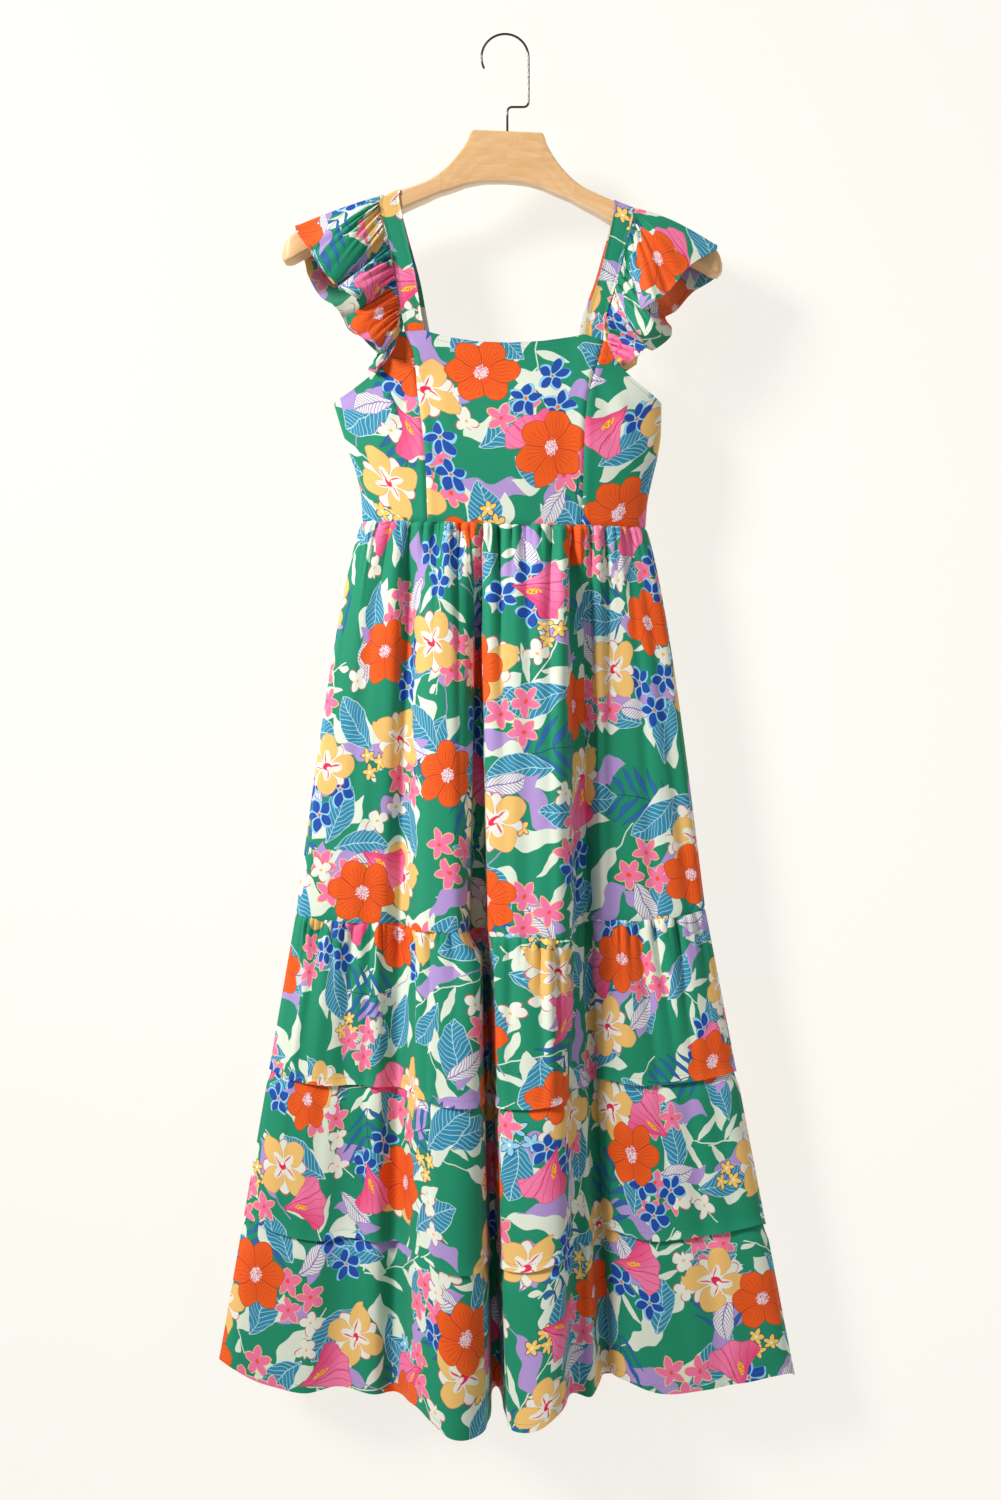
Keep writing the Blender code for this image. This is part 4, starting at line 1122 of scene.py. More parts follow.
def cloth_material(name, design, reverse):
    made = bpy.data.materials.new(name)
    made.use_nodes = True
    tree = made.node_tree
    shader = tree.nodes["Principled BSDF"]
    uv = tree.nodes.new("ShaderNodeUVMap")
    uv.uv_map = "cut"
    place = Sock(tree, uv.outputs[0]).vector("MULTIPLY", (1000.0, 1000.0, 0.0))
    group = tree.nodes.new("ShaderNodeGroup")
    group.node_tree = design
    tree.links.new(place.out, group.inputs[0])
    colour = Sock(tree, group.outputs[0])
    grain = noise(place, 1.1, 1.0, flat=True)
    if reverse:
        colour = paint(colour, rgb_value(tree, 0.14), (120, 150, 134))
    # the yarns show as a fine change of tone
    tone = grain.math("MULTIPLY_ADD", 0.16, 0.92)
    scaled = tree.nodes.new("ShaderNodeVectorMath")
    scaled.operation = "SCALE"
    tree.links.new(colour.out, scaled.inputs[0])
    tree.links.new(tone.out, scaled.inputs["Scale"])
    tree.links.new(scaled.outputs[0], shader.inputs["Base Color"])
    x, y, _ = split(place)
    warp = (x * 15.0).math("SINE")
    weft = (y * 15.0).math("SINE")
    weave = warp * weft * 0.5 + grain
    relief = tree.nodes.new("ShaderNodeBump")
    relief.inputs["Strength"].default_value = 0.16
    relief.inputs["Distance"].default_value = 0.00022
    tree.links.new(weave.out, relief.inputs["Height"])
    tree.links.new(relief.outputs[0], shader.inputs["Normal"])
    shader.inputs["Roughness"].default_value = 0.72
    shader.inputs["Specular IOR Level"].default_value = 0.30
    shader.inputs["Sheen Weight"].default_value = 0.10
    shader.inputs["Sheen Roughness"].default_value = 0.45
    return made


def rgb_value(tree, value):
    node = tree.nodes.new("ShaderNodeValue")
    node.outputs[0].default_value = value
    return Sock(tree, node.outputs[0])


def thread_material():
    made = bpy.data.materials.new("green_thread")
    made.use_nodes = True
    tree = made.node_tree
    shader = tree.nodes["Principled BSDF"]
    coords = tree.nodes.new("ShaderNodeTexCoord")
    place = Sock(tree, coords.outputs["Object"])
    tone = noise(place, 900.0, 2.0)
    colour = paint(rgb(tree, (40, 118, 94)), tone, (66, 150, 124))
    tree.links.new(colour.out, shader.inputs["Base Color"])
    shader.inputs["Roughness"].default_value = 0.6
    return made


def wood_material(name="beech_varnished", pale=0.0):
    """Varnished beech: a middle block and two arms, each with its own grain."""
    made = bpy.data.materials.new(name)
    made.use_nodes = True
    tree = made.node_tree
    shader = tree.nodes["Principled BSDF"]
    coords = tree.nodes.new("ShaderNodeTexCoord")
    place = Sock(tree, coords.outputs["Object"]).vector("SUBTRACT", (CROWN_X * MM, 0, CROWN_Z * MM))
    x, y, z = split(place)
    side = x.math("SIGN")
    arm = inside((abs(x) - 0.0685) * 1000.0, 0.5)
    turn = side * arm * 0.42
    node = tree.nodes.new("ShaderNodeVectorRotate")
    node.rotation_type = "Y_AXIS"
    feed(tree, node.inputs["Vector"], place)
    feed(tree, node.inputs["Angle"], turn * -1.0)
    grain_place = Sock(tree, node.outputs[0]).vector("ADD", (0.3, 0.1, 0.2))
    shifted = grain_place.vector("ADD", join(arm * 0.7, side * 0.2))
    long = shifted.vector("MULTIPLY", (14.0, 160.0, 160.0))
    broad = noise(long, 1.0, 4.0)
    fine = noise(shifted.vector("MULTIPLY", (60.0, 1400.0, 1400.0)), 1.0, 2.0)
    flecks = noise(shifted.vector("MULTIPLY", (330.0, 2400.0, 2400.0)), 1.0, 1.0)
    gx, gy, gz = split(shifted)
    bands = (gz * 420.0 + x * x * 5200.0 * (arm * -1.0 + 1.0) + broad * 9.0).math("SINE")
    colour = paint(rgb(tree, (238, 198, 148)), broad.math("MULTIPLY_ADD", 2.2, -0.6, clamp=True), (226, 178, 122))
    colour = paint(colour, bands.math("MULTIPLY_ADD", 0.5, 0.5, clamp=True) * 0.30, (218, 166, 108))
    colour = paint(colour, fine.math("MULTIPLY_ADD", 3.0, -1.3, clamp=True) * 0.28, (212, 152, 92))
    colour = paint(colour, flecks.math("MULTIPLY_ADD", 9.0, -5.6, clamp=True) * 0.42, (176, 112, 60))
    joint = line((abs(x) - 0.0685) * 1000.0, 0.12, 0.3)
    colour = paint(colour, joint * 0.45, (168, 112, 62))
    # painted light: pale mixes the wood toward cream, making a lightened copy that stands in for bounce light on the
    # hanger's underside
    if pale:
        colour = paint(colour, rgb_value(tree, pale), (255, 236, 206))
    tree.links.new(colour.out, shader.inputs["Base Color"])
    relief = tree.nodes.new("ShaderNodeBump")
    relief.inputs["Strength"].default_value = 0.12
    relief.inputs["Distance"].default_value = 0.0002
    tree.links.new((fine + flecks - joint).out, relief.inputs["Height"])
    tree.links.new(relief.outputs[0], shader.inputs["Normal"])
    rough = fine.math("MULTIPLY_ADD", 0.12, 0.44)
    tree.links.new(rough.out, shader.inputs["Roughness"])
    shader.inputs["Coat Weight"].default_value = 0.08
    shader.inputs["Coat Roughness"].default_value = 0.22
    return made


def wire_material():
    made = bpy.data.materials.new("polished_steel_wire")
    made.use_nodes = True
    tree = made.node_tree
    shader = tree.nodes["Principled BSDF"]
    coords = tree.nodes.new("ShaderNodeTexCoord")
    draw = noise(Sock(tree, coords.outputs["Object"]).vector("MULTIPLY", (900.0, 900.0, 120.0)), 1.0, 2.0)
    colour = paint(rgb(tree, (84, 82, 80)), draw, (104, 102, 100))
    tree.links.new(colour.out, shader.inputs["Base Color"])
    tree.links.new(draw.math("MULTIPLY_ADD", 0.10, 0.10).out, shader.inputs["Roughness"])
    shader.inputs["Metallic"].default_value = 1.0
    return made


# ------------------------------------------------------------------ the studio
def studio():
    scene = bpy.context.scene
    scene.view_settings.view_transform = "Standard"
    scene.view_settings.look = "None"
    scene.cycles.max_bounces = 4
    scene.cycles.diffuse_bounces = 2
    camera = bpy.data.cameras.new("camera")
    camera.sensor_fit = "VERTICAL"
    camera.sensor_height = 24.0
    camera.lens = 24.0 * 2.0 / 1.545
    eye = bpy.data.objects.new("camera", camera)
    eye.location = (-0.004635, -2.0, -0.736244)
    eye.rotation_euler = (math.radians(90), 0, 0)
    scene.collection.objects.link(eye)
    scene.camera = eye

    def panel(name, corners, surface):
        mesh = bpy.data.meshes.new(name)
        mesh.from_pydata(corners, [], [(0, 1, 2, 3)])
        mesh.materials.append(surface)
        made = bpy.data.objects.new(name, mesh)
        scene.collection.objects.link(made)
        return made

    def plaster(name, srgb, one_sided, glow):
        made = bpy.data.materials.new(name)
        made.use_nodes = True
        tree = made.node_tree
        shader = tree.nodes["Principled BSDF"]
        shader.inputs["Roughness"].default_value = 0.95
        shader.inputs["Specular IOR Level"].default_value = 0.1
        coords = tree.nodes.new("ShaderNodeTexCoord")
        tone = noise(Sock(tree, coords.outputs["Object"]), 1.5, 2.0)
        darker = tuple(c - 5 for c in srgb)
        colour = paint(rgb(tree, srgb), tone, darker)
        tree.links.new(colour.out, shader.inputs["Base Color"])
        shader.inputs["Emission Color"].default_value = (1.0, 0.98, 0.915, 1.0)
        shader.inputs["Emission Strength"].default_value = glow
        if one_sided:
            geometry = tree.nodes.new("ShaderNodeNewGeometry")
            clear = tree.nodes.new("ShaderNodeBsdfTransparent")
            both = tree.nodes.new("ShaderNodeMixShader")
            tree.links.new(geometry.outputs["Backfacing"], both.inputs[0])
            tree.links.new(shader.outputs[0], both.inputs[1])
            tree.links.new(clear.outputs[0], both.inputs[2])
            tree.links.new(both.outputs[0], tree.nodes["Material Output"].inputs[0])
        return made

    wall_y, floor_z = 0.062, -2.60
    wall = panel("studio_wall", [(-3.5, wall_y, floor_z), (3.5, wall_y, floor_z), (3.5, wall_y, 1.6), (-3.5, wall_y, 1.6)],
                 plaster("wall_plaster", (130, 129, 126), True, 0.795))
    wall.visible_shadow = False
    panel("studio_floor", [(-3.5, -4.0, floor_z), (3.5, -4.0, floor_z), (3.5, 4.0, floor_z), (-3.5, 4.0, floor_z)],
          plaster("floor_pale", (196, 194, 190), False, 0.12))

    world = bpy.data.worlds.new("studio_air")
    scene.world = world
    world.use_nodes = True
    back = world.node_tree.nodes["Background"]
    back.inputs[0].default_value = (1.0, 0.99, 0.975, 1.0)
    back.inputs[1].default_value = 0.245

    def lamp(name, place, aim, size, power, beam=180.0, tint=(1.0, 0.985, 0.96)):
        light = bpy.data.lights.new(name, "AREA")
        light.shape = "RECTANGLE"
        light.size, light.size_y = size
        light.energy = power
        light.color = tint
        light.spread = math.radians(beam)
        made = bpy.data.objects.new(name, light)
        place, aim = np.array(place), np.array(aim)
        made.location = place
        from mathutils import Vector
        made.rotation_euler = Vector(aim - place).to_track_quat("-Z", "Y").to_euler()
        scene.collection.objects.link(made)

    lamp("key", (-2.6, -2.0, 0.95), (0.0, 0.0, -0.62), (0.8, 0.9), 19.0, 60.0)
    lamp("fill", (2.3, -2.6, -0.4), (0.0, 0.0, -0.8), (1.8, 1.8), 15.0)
    lamp("behind", (0.6, 2.4, 0.5), (0.0, 0.0, -0.7), (1.8, 1.8), 36.0)


# ------------------------------------------------------------------ the hanger
def hanger():
    wood = wood_material()
    stations = np.unique(np.concatenate([
        np.linspace(0, 33, 8), np.linspace(33, 60, 30), np.linspace(60, 215, 70),
        225.5 - 11.0 * (1 - np.sin(np.linspace(0, math.pi / 2, 14)))]))
    stations = np.concatenate([-stations[:0:-1], stations])
    sides = 48
    rings = []
    for along in stations:
        at = abs(along)
        top, bottom, thick = (float(soft_table(HANGER, c, 0, np.array(at))) for c in (1, 2, 3))
        half_t, half_h, middle = thick / 2, (top - bottom) / 2, (top + bottom) / 2
        r = min(3.2, half_t - 0.6, half_h - 0.6)
        ring = []
        for k in range(sides):
            a = 2 * math.pi * (k + 0.5) / sides
            corner = int(k / (sides / 4))
            sy = (1, -1, -1, 1)[corner]
            sz = (1, 1, -1, -1)[corner]
            ring.append((sy * (half_t - r) + r * math.cos(a), middle + sz * (half_h - r) + r * math.sin(a)))
        ring = np.array(ring)
        ring = hanger_world(along, ring[:, 0], ring[:, 1])
        ring[:, 2] -= LEFT_END_DROP * float(smooth((-along - 168.0) / 50.0))
        rings.append(ring)
    rings = np.array(rings)
    # each end is closed by rings that draw in to a point
    ends = []
    for first, inward in ((rings[0], -1), (rings[-1], 1)):
        centre = first.mean(0)
        caps = [centre + (first - centre) * share + np.array((inward * reach, 0, 0))
                for share, reach in ((0.93, 0.35), (0.75, 0.62), (0.5, 0.78), (0.25, 0.85), (0.04, 0.88))]
        ends.append(caps)
    rings = np.concatenate([np.array(ends[0])[::-1], rings, np.array(ends[1])])
    count = len(rings)
    vertices = rings.reshape(-1, 3)
    index = np.arange(count * sides).reshape(count, sides)
    a, b = index[:-1], np.roll(index[:-1], -1, axis=1)
    c, d = np.roll(index[1:], -1, axis=1), index[1:]
    quads = np.stack([a, b, c, d], axis=-1).reshape(-1, 4)
    # the second material is the same beech with painted bounce light, lightened for the downward faces of the middle
    made = add_mesh("hanger_wood", vertices, quads, [wood, wood_material("beech_underside_painted_bounce", 0.55)], sharp=False)
    close_holes(made)
    for face in made.data.polygons:
        face.material_index = 1 if face.normal.z < -0.5 and abs(face.center.x - CROWN_X * MM) < 0.19 else 0
    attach(made, "root")
    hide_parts("hanger_body")
    return made


def close_holes(made):
    import bmesh
    work = bmesh.new()
    work.from_mesh(made.data)
    bmesh.ops.holes_fill(work, edges=[e for e in work.edges if e.is_boundary], sides=0)
    bmesh.ops.recalc_face_normals(work, faces=work.faces)
    for face in work.faces:
        face.smooth = True
    work.to_mesh(made.data)
    work.free()


def hook_route():
    centre_z = -HOOK_R + WIRE_R
    points = []
    for i in range(61):
        a = math.radians(206 - i * 206 / 60)
        points.append((HOOK_R * math.cos(a), centre_z + HOOK_R * math.sin(a)))
    leg_x, leg_end, corner = HOOK_R, -69.0, 5.0
    for share in (0.2, 0.4, 0.6, 0.8):
        points.append((leg_x, mix(centre_z, leg_end, share)))
    for i in range(13):
        a = math.radians(-i * 90 / 12)
        points.append((leg_x - corner + corner * math.cos(a), leg_end + corner * math.sin(a)))
    foot_x = CROWN_X - 0.2
    for i in range(13):
        a = math.radians(90 + i * 90 / 12)
        points.append((foot_x + corner + corner * math.cos(a), leg_end - 2 * corner + corner * math.sin(a)))
    points.append((foot_x, CROWN_Z - 8.0))
    return np.array(points)


def tube(route, radii, sides):
    """Rings along a route in the XZ plane, with a point at each end."""
    tangent = np.gradient(route, axis=0)
    tangent /= np.linalg.norm(tangent, axis=1, keepdims=True)
    nx, nz = -tangent[:, 1], tangent[:, 0]
    a = 2 * math.pi * np.arange(sides) / sides
    x = route[:, 0, None] + nx[:, None] * radii[:, None] * np.cos(a)
    y = radii[:, None] * np.sin(a)
    z = route[:, 1, None] + nz[:, None] * radii[:, None] * np.cos(a)
    rings = np.stack([x, np.broadcast_to(y, x.shape), z], axis=-1)
    count = len(rings)
    index = np.arange(count * sides).reshape(count, sides)
    p, q = index[:-1], np.roll(index[:-1], -1, axis=1)
    r, s = np.roll(index[1:], -1, axis=1), index[1:]
    return rings.reshape(-1, 3), np.stack([p, q, r, s], axis=-1).reshape(-1, 4)


def hook():
    steel = wire_material()
    route = hook_route()
    first = route[0] - (route[1] - route[0]) / np.linalg.norm(route[1] - route[0]) * np.array([[1.15], [0.9], [0.5]])
    route = np.concatenate([first, route])
    radii = np.full(len(route), WIRE_R)
    radii[:3] = (0.25, 0.75, 1.08)
    vertices, quads = tube(route, radii, 20)
    made = add_mesh("hook_wire", vertices, quads, [steel], sharp=False)
    close_holes(made)
    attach(made, "root")
    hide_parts("hanger_hook")
    # the turned collar that the wire goes through at the crown
    foot_x = CROWN_X - 0.2
    profile = np.array([(1.25, 0.1), (2.6, 0.1), (3.0, 0.45), (2.95, 0.95), (2.4, 1.35), (1.7, 1.45), (1.25, 1.3)])
    turns = 32
    a = 2 * math.pi * np.arange(turns) / turns
    rings = np.stack([foot_x + profile[:, 0, None] * np.cos(a), profile[:, 0, None] * np.sin(a),
                      np.broadcast_to(CROWN_Z + profile[:, 1, None], (len(profile), turns))], axis=-1)
    index = np.arange(len(profile) * turns).reshape(len(profile), turns)
    p, q = index, np.roll(index, -1, axis=1)
    r, s = np.roll(np.roll(index, -1, axis=0), -1, axis=1), np.roll(index, -1, axis=0)
    collar = add_mesh("hook_collar", rings.reshape(-1, 3), np.stack([p, q, r, s], axis=-1).reshape(-1, 4), [steel], sharp=False)
    close_holes(collar)
    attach(collar, "root")


# ------------------------------------------------------------------ the cloth
def finish_cloth(made, node, held, rests_on=()):
    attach(made, "root")
    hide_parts(node)


SEWN = []  # lines of stitching: places on the cloth and its normals there


def level_line(outer, normals, measure, value, turned=False):
    """The line over a grid's surface where a measure that runs along the columns
    has a value. turned takes the measure along the rows instead."""
    if turned:
        outer, normals, measure = outer.swapaxes(0, 1), normals.swapaxes(0, 1), measure.swapaxes(0, 1)
    rising = measure[-1, 0] > measure[0, 0]
    line, side = [], []
    for j in range(outer.shape[1]):
        key = measure[:, j] if rising else measure[::-1, j]
        at = np.interp(value, key, np.arange(len(key)))
        if not rising:
            at = len(key) - 1 - at
        i = min(int(at), len(key) - 2)
        line.append(mix(outer[i, j], outer[i + 1, j], at - i))
        side.append(mix(normals[i, j], normals[i + 1, j], at - i))
    return np.array(line), np.array(side)


def stitches(name, pitch=3.1, long=2.3, wide=0.42, high=0.16):
    """Every stitch of the dress as one joined mesh: little flat spindles that lie
    along their lines."""
    thread = thread_material()
    ring = np.array([(-1, 0), (0, 1), (1, 0), (0, -1)], float) * (wide / 2, high)
    vertices, faces = [], []
    for line, side in SEWN:
        run = np.concatenate([[0.0], np.cumsum(np.linalg.norm(np.diff(line, axis=0), axis=1))])
        middles = np.arange(2.5, run[-1] - 2.5, pitch)
        if not len(middles):
            continue
        read = lambda at, rows: np.stack([np.interp(at, run, rows[:, k]) for k in range(3)], axis=-1)
        start, end = read(middles - long / 2, line), read(middles + long / 2, line)
        up = read(middles, side)
        up /= np.linalg.norm(up, axis=1, keepdims=True)
        ahead = end - start
        ahead /= np.maximum(np.linalg.norm(ahead, axis=1, keepdims=True), 1e-6)
        aside = np.cross(up, ahead)
        middle = read(middles, line)
        for k in range(len(middles)):
            first = len(vertices)
            vertices.append(middle[k] - ahead[k] * long / 2 - up[k] * 0.1)
            for place in (-0.3, 0.3):
                for a, b in ring:
                    vertices.append(middle[k] + ahead[k] * long * place + aside[k] * a + up[k] * (b + 0.05))
            vertices.append(middle[k] + ahead[k] * long / 2 - up[k] * 0.1)
            for i in range(4):
                j = (i + 1) % 4
                faces.append((first, first + 1 + j, first + 1 + i))
                faces.append((first + 1 + i, first + 1 + j, first + 5 + j, first + 5 + i))
                faces.append((first + 9, first + 5 + i, first + 5 + j))
    made = add_faces(name, np.array(vertices), faces, thread)
    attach(made, "root")
    return made


def add_faces(name, vertices, faces, surface):
    mesh = bpy.data.meshes.new(name)
    mesh.from_pydata((vertices * MM).tolist(), [], faces)
    mesh.materials.append(surface)
    mesh.polygons.foreach_set("use_smooth", [True] * len(mesh.polygons))
    mesh.update()
    import bmesh
    work = bmesh.new()
    work.from_mesh(mesh)
    bmesh.ops.recalc_face_normals(work, faces=work.faces)
    work.to_mesh(mesh)
    work.free()
    made = bpy.data.objects.new(name, mesh)
    bpy.context.scene.collection.objects.link(made)
    return made


def tier(name, folds, v0, v1, columns, rows, tier_1, materials, behind, gather, seed):
    """One tier of the skirt. behind gives how far the cloth lies behind the
    skirt's surface at each height share."""
    fine = np.linspace(0, len(folds) - 1, (len(folds) - 1) * 24 + 1)
    end_v = 1.0
    line_end = skirt_points(folds, fine, np.full_like(fine, end_v), tier_1)
    places = np.interp(even_places(line_end, columns), np.arange(len(fine)), fine)
    v = v0 + (v1 - v0) * np.linspace(0, 1, rows) ** (1.25 if tier_1 else 1.0)
    at, vv = np.meshgrid(places, v)
    base = skirt_points(folds, at, vv, tier_1)
    outward = 1 if folds is BACK_FOLDS else -1
    normals = level_normals(base, outward)
    end_points = skirt_points(folds, places, np.full_like(places, end_v), tier_1)
    hung = lengths(end_points[None], 1)[0]
    share = np.broadcast_to(hung / hung[-1], at.shape)
    down = lengths(base, 0)
    s_here = lengths(base, 1)
    edge = smooth(np.minimum(share, 1 - share) * s_here[:, -1:] / 14.0)
    lift = np.zeros(at.shape)
    if gather:
        kind, strength = gather
        seam_run = np.broadcast_to(s_here[:1], at.shape)
        lift += gathers(kind, seam_run, down, strength(share), seed) * edge
    face = "back" if folds is BACK_FOLDS else "front"
    hem_run = share * hung[-1]
    start = smooth(down / 60.0) if tier_1 else smooth(0.5 + down / 60.0) if v0 == 0 else 1.0
    lift += soft_folds(("upper_" if tier_1 else "lower_") + face, hem_run, vv, 61 if tier_1 else 67) * start * edge
    lift -= behind(vv)
    points = base + normals * lift[..., None]
    return points, normals, share, down, s_here, edge, outward


def skirt(front_materials):
    def none(v):
        return np.zeros_like(v)

    over = TUCK_OVERLAP / 480.0

    def under(start):
        return lambda v: TUCK_DEPTH * (1 - smooth((v - start - 0.004) / 0.034))

    middle = lambda share: 0.62 + 0.40 * bump((share - 0.54) / 0.30)
    even = lambda share: 0.82 + 0.22 * np.sin(share * 23.0)
    specs = (
        # number, v0, v1, front columns, rows, back columns, rows, covered from
        (1, 0.0, 1.0, 392, 122, 210, 66, None),
        (2, 0.0, TUCK_1, 400, 54, 228, 34, None),
        (3, TUCK_1 - over, TUCK_2, 400, 52, 228, 32, TUCK_1),
        (4, TUCK_2 - over, 1.0, 400, 54, 228, 32, TUCK_2),
    )
    for folds, face, cols_at, rows_at in ((FRONT_FOLDS, "front", 3, 4), (BACK_FOLDS, "back", 5, 6)):
        for spec in specs:
            number, v0, v1, start = spec[0], spec[1], spec[2], spec[7]
            name = f"skirt_tier_{number}_{face}"
            gather = {1: (f"waist_{face}", middle if face == "front" else even),
                      2: (f"tier_{face}", even)}.get(number)
            points, normals, share, down, s_here, edge, outward = tier(
                name, folds, v0, v1, spec[cols_at], spec[rows_at], number == 1,
                front_materials, under(start) if start else none, gather, 100 * number + (7 if face == "back" else 0))
            rows = points.shape[0]
            total = down[-1:]
            left = total - down
            if number == 1:
                # the top edge turns in to the waist seam, and the foot to the next
                points += normals * (-1.8 * bump(down / 2.2) - 1.2 * bump(left / 2.5))[..., None]
                points[..., 2] += 0.9 * bump(down / 3.0)
            elif number == 2:
                points += normals * (-1.3 * bump(down / 2.2))[..., None]
                points[..., 2] += 1.2 * bump(down / 3.0)
            if number in (2, 3):
                # the tuck's fold stands a little proud
                points += normals * (1.3 * bump(left / 6.0) * edge)[..., None]
            thick = np.full(points.shape[:2], CLOTH)
            if number in (2, 3):
                thick += 0.7 * bump(left / 2.0) - 0.28 * bump((left - TUCK_STITCH) / 0.8)
            if number == 4:
                fold = smooth((HEM_FOLD + 0.6 - left) / 1.2)
                thick = thick + 0.45 * fold - 0.28 * bump((left - HEM_FOLD + 1.0) / 0.7)
                rng = np.random.default_rng(71)
                wave = sum(np.sin(s_here * rng.uniform(0.06, 0.22) + rng.uniform(0, 6)) for _ in range(4))
                points += normals * (0.35 * wave * bump(left / 16.0) * edge)[..., None]
            full = surface_normals(points, (0, outward, 0))
            full[:, 0], full[:, -1] = (-1, 0, 0), (1, 0, 0)
            points[:, 0, 1] = points[:, -1, 1] = outward * CLOTH * 0.5
            low = {1: 0.0, 2: 0.0, 3: 0.0, 4: 0.0}[number]
            along = low + down / total
            made = shell(name.replace("skirt_", "cloth_"), points, full, front_materials,
                         cut_map(name, share, along), thick)
            finish_cloth(made, name, "gathered" if number < 3 else "hung",
                         ["cloth_bodice_front_centre" if face == "front" else "cloth_bodice_back"] if number == 1
                         else [f"cloth_tier_{number - 1}_{face}"])
            if number > 1:
                outer = points + full * (thick / 2)[..., None]
                SEWN.append(level_line(outer, full, left, HEM_FOLD - 1.0 if number == 4 else TUCK_STITCH))


def bodice_detail(points, row, seam_left, seam_right, x, seed, centre):
    """Heights of the panel's seams, puckers and soft pulls."""
    lift = np.zeros(x.shape)
    rng = np.random.default_rng(seed)
    z = points[..., 2]
    for seam, sign in ((seam_left, 1), (seam_right, -1)):
        if seam is None:
            continue
        off = np.abs(x - seam)
        lift -= 1.0 * bump(off / 1.6)
        lift += 0.5 * bump((off - 5.0) / 3.5)
        place = -322.0
        while place > -500:
            place -= rng.uniform(5.5, 11.0)
            strong = 0.75 if place > -372 else 0.32
            wide = rng.uniform(1.6, 2.8)
            slant = rng.uniform(-0.25, 0.25)
            lift += strong * rng.uniform(0.5, 1.2) * bump((z - place + slant * off) / wide) * bump(off / rng.uniform(6, 12)) * smooth(off / 1.5)
    return lift


